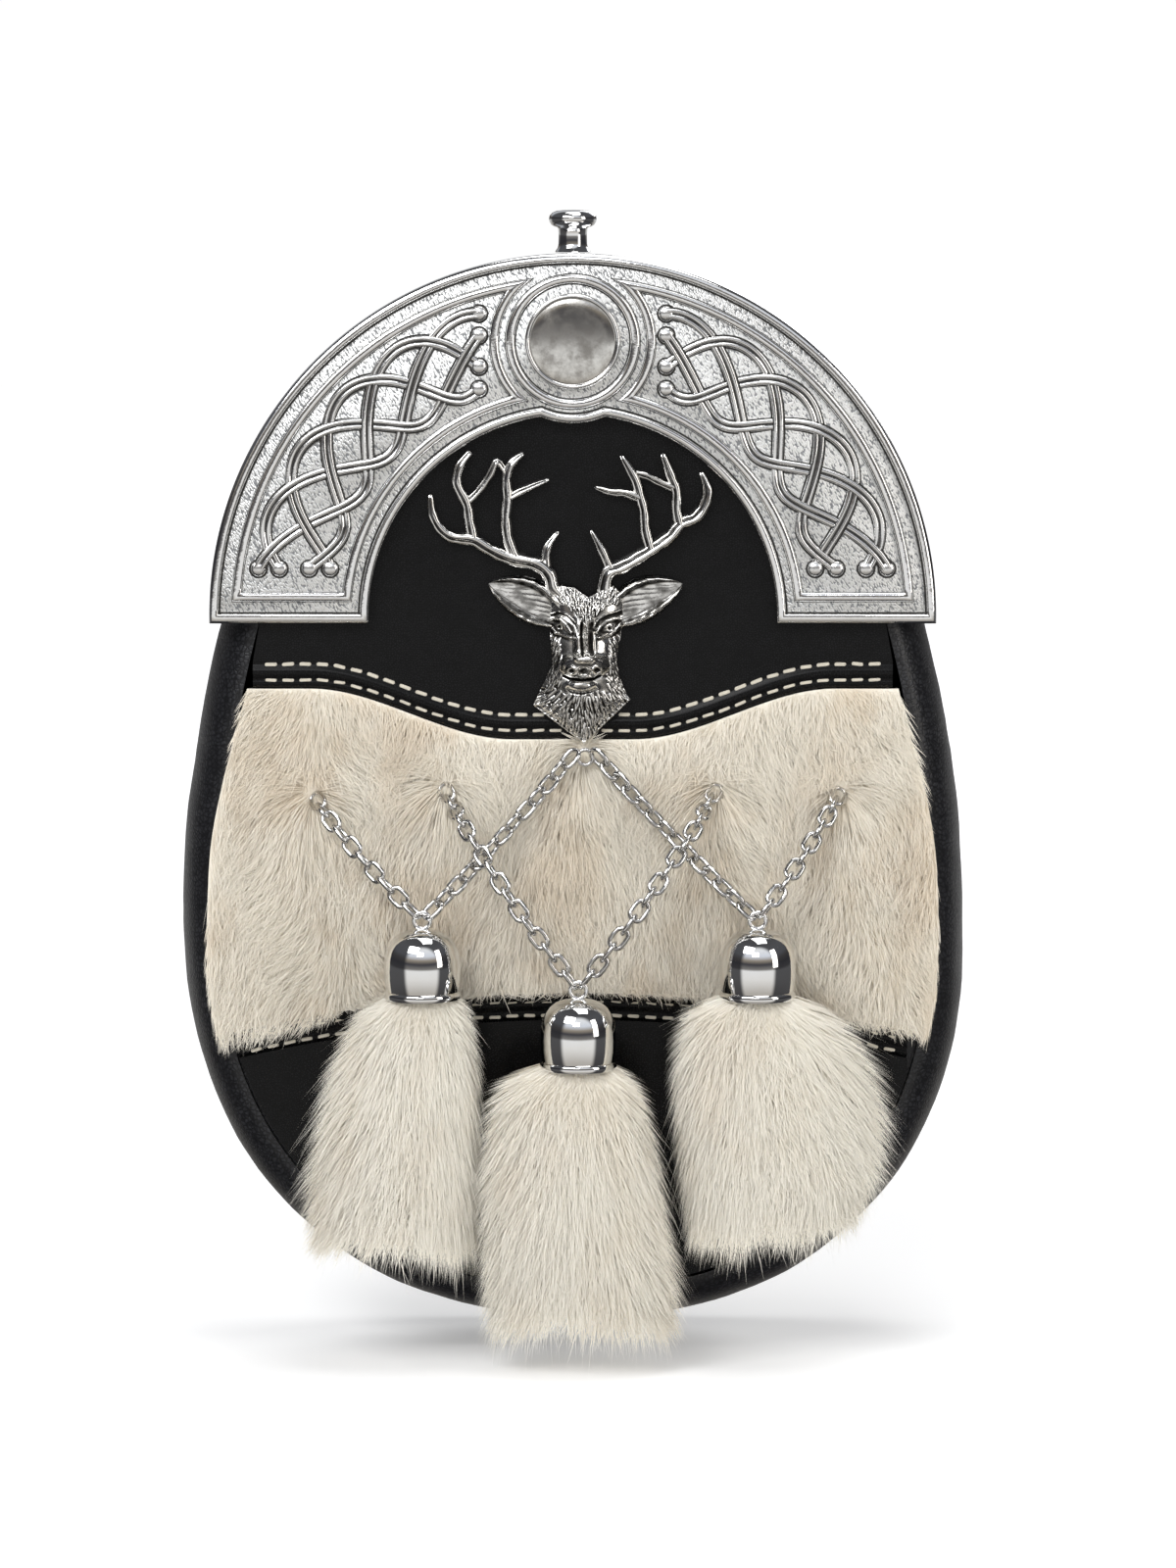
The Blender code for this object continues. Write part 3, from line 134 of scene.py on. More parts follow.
def half_width(z, inset=0.0):
    """Half width of the pouch's outline at height z, moved in by inset."""
    if z > ARCH_Z:
        return sqrt(max(0.0, (TOP_HALF - inset) ** 2 - (z - ARCH_Z) ** 2))
    if z > WIDE_Z:
        return mix(WIDE_HALF, TOP_HALF, ((z - WIDE_Z) / WIDE_DROP) ** 2) - inset
    fall = min(1.0, (WIDE_Z - z) / (BOWL_DEPTH - inset))
    return (WIDE_HALF - inset) * (1.0 - fall ** BOWL_POWER) ** (1.0 / BOWL_POWER)


def bowl_point(angle, inset):
    """A point (x, z) on the outline's rounded bottom; angle 0 is its right end and pi its left."""
    power = 2.0 / BOWL_POWER
    x = (WIDE_HALF - inset) * copysign(abs(cos(angle)) ** power, cos(angle))
    z = WIDE_Z - (BOWL_DEPTH - inset) * abs(sin(angle)) ** power
    return x + lean(z), z


def crown(x, z):
    """How far the front swells forward at a place."""
    grown = smooth((ARCH_Z - CROWN_DROP - z) / CROWN_RUN)
    ebb = smooth((z - BOTTOM_Z - PANEL_INSET) / (BOWL_DEPTH - PANEL_INSET))
    side = min(1.0, abs(x - lean(z)) / max(half_width(z, PANEL_INSET), MM))
    return CROWN * grown * ebb * (1.0 - side ** 2)


def outline(share, inset):
    """A point (x, z) of the whole outline, from share 0 at the arch's right end, over the top."""
    turn = share % 1.0 * 4.0
    if turn < 1.5:
        angle, radius = pi * turn / 1.5, TOP_HALF - inset
        return radius * cos(angle), ARCH_Z + radius * sin(angle)
    if turn < 2.0:
        z = ARCH_Z - WIDE_DROP * (turn - 1.5) * 2.0
        return -half_width(z, inset), z
    if turn < 3.5:
        return bowl_point(pi * (3.5 - turn) / 1.5, inset)
    z = WIDE_Z + WIDE_DROP * (turn - 3.5) * 2.0
    return half_width(z, inset), z


print("outline from", [round(v * 1000, 1) for v in outline(0.0, 0.0)], "to the lowest point",
      round(BOTTOM_Z * 1000, 1))

# %% [markdown]
# ## Ways of making a mesh
# Nearly everything here is a sheet of small squares that is rolled or bent into place: a grid
# runs along the piece one way and round its section the other way. Where the grid meets itself
# its points are welded, and open ends are filled. Hollows are found from the shape itself, since
# old metal keeps its dark film in the hollows and loses it where hands and cloth rub.

# %% Ways of making a mesh


def shaped(columns, rows, place):
    """A grid whose points go to place(u, v), both shares from 0 to 1; points that meet are welded."""
    bm = bmesh.new()
    bmesh.ops.create_grid(bm, x_segments=columns, y_segments=rows, size=1.0)
    for vert in bm.verts:
        vert.co = place((vert.co.x + 1.0) * 0.5, (vert.co.y + 1.0) * 0.5)
    bmesh.ops.remove_doubles(bm, verts=bm.verts, dist=2e-6)
    return bm


def capped(bm):
    """Fills whatever is still open and turns every face outwards."""
    bmesh.ops.holes_fill(bm, edges=bm.edges, sides=0)
    bmesh.ops.recalc_face_normals(bm, faces=bm.faces)
    return bm


def gather(parts):
    """Several bmeshes as one."""
    whole = bmesh.new()
    for part in parts:
        mesh = bpy.data.meshes.new("part")
        part.to_mesh(mesh)
        part.free()
        whole.from_mesh(mesh)
        bpy.data.meshes.remove(mesh)
    return whole


def put(bm, at=(0.0, 0.0, 0.0), axis="X", turn=0.0, size=(1.0, 1.0, 1.0)):
    """Scales a bmesh, turns it by degrees about an axis through the origin and moves it."""
    bmesh.ops.scale(bm, verts=bm.verts, vec=size)
    bmesh.ops.rotate(bm, verts=bm.verts, matrix=Matrix.Rotation(radians(turn), 3, axis))
    bmesh.ops.translate(bm, verts=bm.verts, vec=at)
    return bm


def marks(path):
    """The length along a path up to each of its points."""
    return np.concatenate([[0.0], np.cumsum([dist(a, b) for a, b in zip(path, path[1:])])])


def on_path(at, lengths, path):
    """The point of a path at a length along it."""
    return [float(np.interp(at, lengths, [point[k] for point in path])) for k in range(len(path[0]))]


def hollows(mesh, rounds=2):
    """Each point's hollowness, about 0 on crests and 1 in grooves, from its neighbours' places."""
    count = len(mesh.vertices)
    places, normals = np.empty(count * 3), np.empty(count * 3)
    mesh.vertices.foreach_get("co", places)
    mesh.vertices.foreach_get("normal", normals)
    places, normals = places.reshape(-1, 3), normals.reshape(-1, 3)
    ends = np.empty(len(mesh.edges) * 2, np.int64)
    mesh.edges.foreach_get("vertices", ends)
    a, b = ends.reshape(-1, 2).T
    step = places[b] - places[a]
    length = np.maximum(np.linalg.norm(step, axis=1), 1e-9)
    total, weight = np.zeros(count), np.zeros(count)
    for near, sign in ((a, 1.0), (b, -1.0)):
        np.add.at(total, near, sign * np.einsum("ij,ij->i", step, normals[near]) / length)
        np.add.at(weight, near, 1.0)
    bend = total / np.maximum(weight, 1.0)
    for _ in range(rounds):
        spread, shares = bend * 2.0, np.full(count, 2.0)
        for near, far in ((a, b), (b, a)):
            np.add.at(spread, near, bend[far])
            np.add.at(shares, near, 1.0)
        bend = spread / shares
    return np.clip(0.5 + 1.6 * bend, 0.0, 1.0)


def hand_over(name, mesh, material, node, slot):
    """Makes an object of a mesh, which stands for a CAD node, and gives it its finish."""
    mesh.shade_smooth()
    mesh.materials.append(material)
    made = bpy.data.objects.new(name, mesh)
    scene.collection.objects.link(made)
    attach(made, "root")
    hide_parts(node)
    return made


def piece(name, bm, material, node, slot, sharp=38.0, worn=0):
    """Hands a bmesh over; edges over sharp degrees stay hard, and worn counts the rounds of hollows."""
    bmesh.ops.recalc_face_normals(bm, faces=bm.faces)
    mesh = bpy.data.meshes.new(name)
    bm.to_mesh(mesh)
    bm.free()
    made = hand_over(name, mesh, material, node, slot)
    mesh.set_sharp_from_angle(angle=radians(sharp))
    if worn:
        mark = mesh.attributes.new("hollow", "FLOAT", "POINT")
        mark.data.foreach_set("value", hollows(mesh, worn).astype(np.float32))
    mesh.calc_loop_triangles()
    print(name, len(mesh.loop_triangles), "triangles")
    return made


def bar(path, section, around):
    """A closed bar along path, points (x, z); section(share, v) gives (across, y) round it."""
    last = len(path) - 1

    def place(u, v):
        i = round(u * last)
        before, after = path[max(0, i - 1)], path[min(last, i + 1)]
        along = Vector((after[0] - before[0], after[1] - before[1])).normalized()
        across, y = section(i / last, v % 1.0)
        return path[i][0] - along.y * across, y, path[i][1] + along.x * across

    return capped(shaped(last, around, place))


print("helpers ready")

# %% [markdown]
# ## Shared effects
# Three effects come back on many pieces: the pebbled grain of leather, the dark film that stays
# in the hollows of old silver plate, and the uneven colour of rabbit fur with painted shade toward
# the roots of its hairs. Each is a node group with named inputs, so one group serves every piece
# and only its numbers change.

# %% Shared effects


def group(name, inputs, outputs):
    """A new node group with its sockets: inputs are (name, kind, value), outputs (name, kind)."""
    tree = bpy.data.node_groups.new(name, "ShaderNodeTree")
    for label, kind, value in inputs:
        tree.interface.new_socket(label, in_out="INPUT", socket_type="NodeSocket" + kind).default_value = value
    for label, kind in outputs:
        tree.interface.new_socket(label, in_out="OUTPUT", socket_type="NodeSocket" + kind)
    return tree, tree.nodes.new("NodeGroupInput").outputs, tree.nodes.new("NodeGroupOutput").inputs


def feed(tree, inputs, values):
    """Sets inputs by name, and links those whose value is another node's output."""
    for label, value in values.items():
        if isinstance(value, bpy.types.NodeSocket):
            tree.links.new(value, inputs[label])
        else:
            inputs[label].default_value = value


def step(tree, kind, values, out=0, **settings):
    """Adds a node, sets or links its inputs, and gives back one of its outputs."""
    made = tree.nodes.new("ShaderNode" + kind)
    for label, value in settings.items():
        setattr(made, label, value)
    feed(tree, made.inputs, values)
    return made.outputs[out]


def maths(tree, operation, a, b=0.0):
    """One sum on two values, held between 0 and 1 by CLAMP_ in front of its name."""
    held = operation.startswith("CLAMP_")
    return step(tree, "Math", {0: a, 1: b}, operation=operation.replace("CLAMP_", ""), use_clamp=held)


def between(tree, value, low, high, start=0.0, end=1.0):
    """Eases value from low..high to start..end."""
    ranges = {"Value": value, "From Min": low, "From Max": high, "To Min": start, "To Max": end}
    return step(tree, "MapRange", ranges, interpolation_type="SMOOTHSTEP")


def tint(tree, share, first, second):
    """A colour at a share of the way between two colours."""
    return step(tree, "Mix", {0: share, 6: first, 7: second}, out=2, data_type="RGBA")


def in_mm(tree, size, stretch=(1.0, 1.0, 1.0), turn=0.0):
    """Object coordinates counted in cells of size mm, turned about Y and stretched."""
    here = step(tree, "TexCoord", {}, out="Object")
    here = step(tree, "VectorRotate", {"Vector": here, "Angle": radians(turn)}, rotation_type="Y_AXIS")
    here = step(tree, "VectorMath", {0: here, 1: tuple(1000.0 * s for s in stretch)}, operation="MULTIPLY")
    return step(tree, "VectorMath", {0: here, "Scale": maths(tree, "DIVIDE", 1.0, size)}, operation="SCALE")


def clouds(tree, size, detail, rough=0.5, stretch=(1.0, 1.0, 1.0)):
    """Uneven noise with lumps of about size mm."""
    here = in_mm(tree, size, stretch)
    return step(tree, "TexNoise", {"Vector": here, "Scale": 1.0, "Detail": detail, "Roughness": rough})


tree, given, leather_out = group("leather_grain", [("Cell", "Float", 1.1), ("Depth", "Float", 0.05),
                                                   ("Wrinkle", "Float", 0.5)],
                                 [("Normal", "Vector"), ("Mask", "Float")])
here = in_mm(tree, given["Cell"])
cells = between(tree, step(tree, "TexVoronoi", {"Vector": here, "Scale": 1.0, "Randomness": 0.9},
                           feature="DISTANCE_TO_EDGE"), 0.0, 0.3)
waves = step(tree, "TexNoise", {"Vector": here, "Scale": 0.16, "Detail": 3.0})
wrinkles = maths(tree, "MULTIPLY", maths(tree, "MULTIPLY", waves, given["Wrinkle"]), 6.0)
height = maths(tree, "ADD", cells, wrinkles)
depth = maths(tree, "MULTIPLY", given["Depth"], MM)
bump = step(tree, "Bump", {"Height": height, "Distance": depth, "Strength": 1.0})
feed(tree, leather_out, {"Normal": bump, "Mask": maths(tree, "MULTIPLY", cells, waves)})

tree, given, worn_out = group("worn_silver", [("Hollow", "Float", 0.5),
                                              ("Clean", "Color", (0.8, 0.79, 0.77, 1)),
                                              ("Film", "Color", (0.03, 0.028, 0.025, 1)),
                                             ("Amount", "Float", 0.5), ("Polish", "Float", 0.15)],
                              [("Colour", "Color"), ("Roughness", "Float"), ("Normal", "Vector")])
blots, fine = clouds(tree, 2.6, 4.0), clouds(tree, 0.45, 2.0)
edge = maths(tree, "ADD", given["Hollow"], maths(tree, "MULTIPLY", maths(tree, "SUBTRACT", blots, 0.5), 0.5))
low = maths(tree, "SUBTRACT", 0.95, maths(tree, "MULTIPLY", given["Amount"], 0.6))
film = step(tree, "MapRange", {"Value": edge, "From Min": low, "From Max": maths(tree, "ADD", low, 0.22)},
            interpolation_type="SMOOTHSTEP")
warm = tint(tree, maths(tree, "CLAMP_MULTIPLY", blots, 0.15), given["Clean"], (0.66, 0.58, 0.44, 1))
rough = maths(tree, "ADD", given["Polish"], maths(tree, "MULTIPLY", film, 0.35))
rough = maths(tree, "ADD", rough, maths(tree, "MULTIPLY", maths(tree, "SUBTRACT", fine, 0.5), 0.12))
bumps = maths(tree, "ADD", fine, maths(tree, "MULTIPLY", blots, 4.0))
bump = step(tree, "Bump", {"Height": bumps, "Distance": 0.016 * MM, "Strength": 0.7})
feed(tree, worn_out, {"Colour": tint(tree, film, warm, given["Film"]), "Roughness": rough, "Normal": bump})

tree, given, fur_out = group("fur_tone_and_root_shade", [("Strand", "Float", 0.5), ("Along", "Float", 0.5),
                                          ("Light", "Color", (0.93, 0.87, 0.77, 1)),
                                          ("Tan", "Color", (0.62, 0.43, 0.25, 1)), ("Patches", "Float", 0.5)],
                             [("Colour", "Color")])
patch = clouds(tree, 17.0, 3.0, 0.6, (1.0, 1.0, 0.7))
patch = maths(tree, "MULTIPLY", between(tree, patch, 0.42, 0.68), given["Patches"])
strand = maths(tree, "MULTIPLY", maths(tree, "SUBTRACT", given["Strand"], 0.45), 0.42)
# Each hair is darker toward its root and paler toward its tip. The darker roots are painted shade deep in the
# pile, and the paler tips are the hairs' own colour.
root = maths(tree, "MULTIPLY", maths(tree, "SUBTRACT", 0.6, given["Along"]), 0.24)
share = maths(tree, "CLAMP_ADD", maths(tree, "ADD", patch, strand), root)
feed(tree, fur_out, {"Colour": tint(tree, share, given["Light"], given["Tan"])})
print("node groups:", [g.name for g in bpy.data.node_groups])

# %% [markdown]
# ## Finishes
# The leather is black: pebbled on the pouch, glazed to a smooth shine on the front. The cantle is
# cast and silver plated. Its raised lines are polished, its ground is cut with fine slanted
# strokes that make it look white and satin, and its grooves hold a black film. The caps have
# plain bright plate, and the chains are a duller grey. The fur is cream with tan patches, and the
# tassels are whiter.

# %% Finishes


def finish(name, shader_values):
    """A new material and its tree, with constants on the shader itself."""
    made = bpy.data.materials.new(name)
    made.use_nodes = True
    shader = made.node_tree.nodes["Principled BSDF"]
    feed(made.node_tree, shader.inputs, shader_values)
    return made, made.node_tree, shader.inputs


def use(tree, name, values):
    """Adds a node group with its values and gives back its outputs."""
    holder = tree.nodes.new("ShaderNodeGroup")
    holder.node_tree = bpy.data.node_groups[name]
    feed(tree, holder.inputs, values)
    return holder.outputs


def attribute(tree, name):
    """A number kept on each point of the mesh."""
    return step(tree, "Attribute", {}, out="Fac", attribute_name=name)


def leather(name, dark, light, rough, cell, depth, wrinkle, coat, gloss):
    """Black leather with its grain, a little greyer and duller where the grain stands up."""
    made, tree, shader = finish(name, {"Coat Weight": coat, "Coat Roughness": 0.2, "Specular IOR Level": gloss})
    grain = use(tree, "leather_grain", {"Cell": cell, "Depth": depth, "Wrinkle": wrinkle})
    dull = maths(tree, "ADD", rough, maths(tree, "MULTIPLY", grain["Mask"], 0.16))
    colour = tint(tree, grain["Mask"], dark, light)
    feed(tree, shader, {"Base Color": colour, "Roughness": dull, "Normal": grain["Normal"]})
    return made


def silver(name, clean, amount, polish):
    """Old silver plate with its dark film where the mesh is hollow; clean plate has no dents."""
    made, tree, shader = finish(name, {"Metallic": 1.0})
    worn = use(tree, "worn_silver", {"Hollow": attribute(tree, "hollow"), "Clean": clean, "Amount": amount,
                                     "Polish": polish})
    feed(tree, shader, {"Base Color": worn["Colour"], "Roughness": worn["Roughness"]})
    if amount > 0.15:
        feed(tree, shader, {"Normal": worn["Normal"]})
    return made


def fur(name, light, tan, patches):
    """Rabbit fur: each strand has its own tone, patches run through the whole pelt, and painted shade darkens
    each hair toward its root.
    """
    made, tree, shader = finish(name, {"Roughness": 0.62, "Sheen Weight": 0.35, "Sheen Roughness": 0.45,
                                       "Specular IOR Level": 0.3})
    tone = use(tree, "fur_tone_and_root_shade", {"Strand": attribute(tree, "strand"), "Along": attribute(tree, "along"),
                                  "Light": light, "Tan": tan, "Patches": patches})
    feed(tree, shader, {"Base Color": tone["Colour"]})
    return made


def spun_thread(name, first, second):
    """Waxed thread, with the slant of its twist."""
    made, tree, shader = finish(name, {"Roughness": 0.7})
    twist = step(tree, "TexWave", {"Vector": in_mm(tree, 0.55, turn=35.0), "Scale": 1.0, "Distortion": 0.6})
    bump = step(tree, "Bump", {"Height": twist, "Distance": 0.06 * MM})
    feed(tree, shader, {"Base Color": tint(tree, twist, first, second), "Normal": bump})
    return made


GRAINED = leather("grained_leather", (0.006, 0.006, 0.007, 1), (0.030, 0.031, 0.036, 1), 0.34, 1.0, 0.05, 0.3,
                  0.08, 0.42)
GLAZED = leather("glazed_leather", (0.004, 0.004, 0.004, 1), (0.010, 0.010, 0.011, 1), 0.22, 0.5, 0.004, 1.2,
                 0.03, 0.13)
CAST = silver("cast_relief", (0.85, 0.855, 0.86, 1), 0.62, 0.13)
SATIN = silver("satin_pearls", (0.88, 0.885, 0.89, 1), 0.30, 0.24)
POLISHED = silver("polished_rim", (0.89, 0.895, 0.90, 1), 0.24, 0.06)
STAG = silver("stag_silver", (0.84, 0.835, 0.82, 1), 0.85, 0.08)
PLATED = silver("bright_plate", (0.87, 0.875, 0.88, 1), 0.12, 0.04)
STEEL = silver("chain_steel", (0.66, 0.66, 0.66, 1), 0.30, 0.14)
CREAM = fur("cream_fur", (0.89, 0.84, 0.735, 1), (0.76, 0.65, 0.50, 1), 0.55)
WHITE = fur("tassel_fur", (0.90, 0.865, 0.775, 1), (0.80, 0.72, 0.595, 1), 0.35)
THREAD = spun_thread("thread", (0.80, 0.76, 0.66, 1), (0.62, 0.56, 0.44, 1))
BLACK_THREAD = spun_thread("black_thread", (0.012, 0.012, 0.013, 1), (0.03, 0.03, 0.032, 1))

GROUND, tree, shader = finish("stippled_ground", {"Metallic": 1.0})
strokes = step(tree, "TexVoronoi", {"Vector": in_mm(tree, 0.31, (1.0, 0.3, 0.40), 30.0), "Scale": 1.0},
               feature="F1")
cut = between(tree, strokes, 0.25, 0.80)
worn = use(tree, "worn_silver", {"Hollow": maths(tree, "ADD", maths(tree, "MULTIPLY", cut, 0.75), 0.15),
                                 "Amount": 0.5,
                                 "Clean": (0.90, 0.91, 0.91, 1), "Film": (0.38, 0.39, 0.40, 1), "Polish": 0.42})
bump = step(tree, "Bump", {"Height": maths(tree, "SUBTRACT", 1.0, cut), "Distance": 0.06 * MM, "Strength": 0.9})
feed(tree, shader, {"Base Color": worn["Colour"], "Roughness": worn["Roughness"], "Normal": bump})

FILM, tree, shader = finish("black_film", {"Metallic": 0.1, "Specular IOR Level": 0.3})
soot = clouds(tree, 0.8, 3.0)
black = tint(tree, soot, (0.008, 0.008, 0.008, 1), (0.045, 0.042, 0.038, 1))
feed(tree, shader, {"Base Color": black, "Roughness": between(tree, soot, 0.0, 1.0, 0.25, 0.6)})

TARNISHED, tree, shader = finish("tarnished_mirror", {"Metallic": 1.0})
spots = clouds(tree, 3.4, 6.0, 0.65)
spotted = tint(tree, between(tree, spots, 0.35, 0.7), (0.76, 0.75, 0.72, 1), (0.40, 0.385, 0.36, 1))
feed(tree, shader, {"Base Color": spotted, "Roughness": between(tree, spots, 0.3, 0.8, 0.08, 0.30)})
print("finishes:", [m.name for m in bpy.data.materials if m.use_nodes])

# %% [markdown]
# ## The padded roll
# A strip of leather runs round the sides and the bottom and joins the front to the back. It is
# rolled over a soft core and sewn at both edges, so it stands proud as a round welt. Its section
# is a half ring swept along the pouch's outline, and the leather gets the shallow dents and creases of
# a skin that was pulled round a curve. It is bent leather over a core and not woven cloth, so the
# dents come from moving the points and not from a cloth simulation.

# %% The padded roll


def dent(x, y, z):
    """How far the leather of the roll stands in at a place."""
    broad = noise.noise(Vector((x * 55.0, y * 40.0, z * 55.0)))
    tight = noise.noise(Vector((x * 260.0, y * 120.0, z * 260.0)) + Vector((3.0, 7.0, 1.0)))
    return (0.42 * broad + 0.10 * tight - 0.25) * MM


def roll(u, v):
    """The roll's section: rows 0 to 25 run over the outside, rows 26 to 39 back along the inside."""
    row = round(v * 40) % 40
    outside = row <= 25
    wall = 0.0 if outside else GUSSET_WALL
    angle = pi * (row / 25.0 - 0.5) if outside else pi * (0.5 - (row - 26) / 13.0)
    across = cos(angle)
    inset = ROLL_WIDTH - (ROLL_WIDTH - wall) * across
    x, z = outline(u, inset)
    y = (POUCH_DEPTH * 0.5 - wall) * sin(angle) - POUCH_DEPTH * 0.5
    if outside:
        moved = dent(x, y, z) * smooth(across * 2.5)
        x, z = outline(u, inset - min(moved, 0.0))
    return x, y, z


gusset = piece("gusset_roll", shaped(240, 40, roll), GRAINED, "gusset", "grained_leather", sharp=50)

# %% [markdown]
# ## The back
# The back is a flat wall of leather with the pocket's mouth cut through it. A flap with rounded
# corners hangs over the mouth and shuts with a press stud, and two strap loops carry the belt or
# the chain strap. Cut leather has a softly rounded edge, so each sheet is a flat outline with
# thickness and a small bevel.

# %% The back


def cut_sheet(name, loops, front, back, round_edge):
    """A flat sheet of leather between two depths: the first loop is its outline, the others holes."""
    data = bpy.data.curves.new(name, "CURVE")
    data.dimensions, data.fill_mode = "2D", "BOTH"
    data.extrude, data.bevel_depth = abs(front - back) * 0.5 - round_edge, round_edge
    data.bevel_resolution, data.offset = 2, -round_edge
    for loop in loops:
        spline = data.splines.new("POLY")
        spline.use_cyclic_u = True
        spline.points.add(len(loop) - 1)
        for knot, (x, z) in zip(spline.points, loop):
            knot.co = (x, z, 0.0, 1.0)
    drawn = bpy.data.objects.new(name, data)
    scene.collection.objects.link(drawn)
    bpy.context.view_layer.update()
    mesh = bpy.data.meshes.new_from_object(drawn.evaluated_get(bpy.context.evaluated_depsgraph_get()))
    bpy.data.objects.remove(drawn, do_unlink=True)
    bm = bmesh.new()
    bm.from_mesh(mesh)
    bpy.data.meshes.remove(mesh)
    bmesh.ops.remove_doubles(bm, verts=bm.verts, dist=1e-5)
    return put(bm, (0.0, (front + back) * 0.5, 0.0), "X", 90.0)


def rounded(left, right, low, top, corner_low, corner_top, steps=10):
    """A rectangle's outline with rounded corners."""
    points = []
    for x, z, corner, start in ((right, top, corner_top, 0), (left, top, corner_top, 90),
                                (left, low, corner_low, 180), (right, low, corner_low, 270)):
        middle = (x - copysign(corner, x), z + (corner if z == low else -corner))
        for i in range(steps + 1):
            angle = radians(start + 90.0 * i / steps)
            points.append((middle[0] + corner * cos(angle), middle[1] + corner * sin(angle)))
    return points


def stitch(length, thick, lift):
    """One stitch: a round-ended loop of thread that lies along X, flattened where it goes in."""
    bm = bmesh.new()
    bmesh.ops.create_uvsphere(bm, u_segments=8, v_segments=6, radius=thick * 0.5)
    put(bm, axis="Y", turn=90.0)
    for vert in bm.verts:
        vert.co.x += copysign((length - thick) * 0.5, vert.co.x)
        vert.co.y *= lift
    return bm


def stitched(path, depth, pitch, length, thick, seed, slant=4.0, lift=0.8):
    """Stitches along a path of (x, z), at depth(x, z), each with its own small slant."""
    chance = np.random.default_rng(seed)
    lengths = marks(path)
    count = max(1, int(lengths[-1] / pitch))
    parts = []
    for i in range(count):
        at = (i + 0.5) * lengths[-1] / count
        x, z = on_path(at, lengths, path)
        ahead = on_path(at + 0.3 * MM, lengths, path)
        angle = atan2(ahead[1] - z, ahead[0] - x) + radians(slant * chance.normal(0.4, 0.6))
        bm = stitch(length * chance.uniform(0.94, 1.05), thick, lift)
        place = (x, depth(x, z), z + chance.normal(0.0, 0.05) * MM)
        parts.append(put(bm, place, "Y", -degrees(angle)))
    return parts


MOUTH_HALF, MOUTH_TOP, MOUTH_LOW = 52 * MM, ARCH_Z - 6 * MM, ARCH_Z - 18 * MM
BACK_FLAP_HALF, BACK_FLAP_TOP, BACK_FLAP_LOW = 58 * MM, ARCH_Z + 4 * MM, ARCH_Z - 40 * MM
mouth = [(-MOUTH_HALF, MOUTH_LOW), (MOUTH_HALF, MOUTH_LOW), (MOUTH_HALF, MOUTH_TOP), (-MOUTH_HALF, MOUTH_TOP)]
wall = cut_sheet("wall", [[outline(i / 200, ROLL_WIDTH) for i in range(200)], mouth], -PANEL_WALL, 0.0,
                 0.3 * MM)
piece("back_wall", wall, GRAINED, "back_panel", "grained_leather")
edge = rounded(-BACK_FLAP_HALF, BACK_FLAP_HALF, BACK_FLAP_LOW, BACK_FLAP_TOP, 20 * MM, 1 * MM)
flap = cut_sheet("flap", [edge], CLEAR, CLEAR + FACING_WALL, 0.5 * MM)
piece("back_flap_leather", flap, GRAINED, "back_flap", "grained_leather")
seam_half = BACK_FLAP_HALF - 3 * MM
seam = rounded(-seam_half, seam_half, BACK_FLAP_LOW + 3 * MM, BACK_FLAP_TOP - 2.5 * MM, 17 * MM, 1 * MM)
sewn = stitched(seam + seam[:1], lambda x, z: CLEAR + FACING_WALL, 3.4 * MM, 2.4 * MM, 0.7 * MM, 5)
piece("back_flap_stitches", gather(sewn), BLACK_THREAD, "back_flap", "thread")


def turned(profile, steps=48, unit=MM):
    """A solid turned about the upright axis, from (radius, height) pairs in mm."""
    bm = bmesh.new()
    verts = [bm.verts.new((radius * unit, 0.0, height * unit)) for radius, height in profile]
    edges = [bm.edges.new(pair) for pair in zip(verts, verts[1:])]
    bmesh.ops.spin(bm, geom=verts + edges, cent=(0, 0, 0), axis=(0, 0, 1), angle=tau, steps=steps,
                   use_merge=True)
    bmesh.ops.remove_doubles(bm, verts=bm.verts, dist=1e-6)
    bmesh.ops.recalc_face_normals(bm, faces=bm.faces)
    return bm


stud = turned([(0.0, 2.2), (2.6, 2.15), (3.9, 1.9), (4.9, 1.4), (5.4, 0.8), (5.5, 0.35), (5.3, 0.0),
               (0.0, 0.0)])
put(stud, (0.0, CLEAR + FACING_WALL + CLEAR, BACK_FLAP_LOW + 11.5 * MM), "X", -90.0)
piece("press_stud_cap", stud, PLATED, "press_stud", "bright_plate", worn=2)


LOOP_X = 38 * MM
LOOP_STEPS = 52


def strap(side):
    """A strap loop of flat leather, from its upper tab over the belt's room to its lower tab."""
    half = ((0.3, 24.5), (0.3, 17.5), (0.6, 16.2), (2.6, 14.9), (4.5, 14.6), (5.6, 13.6), (5.9, 12.0))
    path = [(y * MM, z * MM) for y, z in half]
    path += [(y, -z) for y, z in reversed(path)]
    fine = [on_path(t, range(len(path)), path) for t in np.linspace(0, len(path) - 1, LOOP_STEPS + 1)]

    def place(u, v):
        i = round(u * LOOP_STEPS)
        before, after = fine[max(0, i - 1)], fine[min(LOOP_STEPS, i + 1)]
        along = Vector((after[0] - before[0], after[1] - before[1])).normalized()
        angle = tau * (v % 1.0)
        tab = min(1.0, min(u, 1.0 - u) * 12 * 7 / 5)
        half = (5 + 5 * sqrt(1.0 - (1.0 - tab) ** 2)) * MM
        across = copysign(abs(cos(angle)) ** 0.35, cos(angle)) * half
        rise = 1 * MM + copysign(abs(sin(angle)) ** 0.55, sin(angle)) * 1 * MM
        return side * LOOP_X + across, fine[i][0] - along.y * rise, fine[i][1] + along.x * rise

    return capped(shaped(LOOP_STEPS, 24, place))


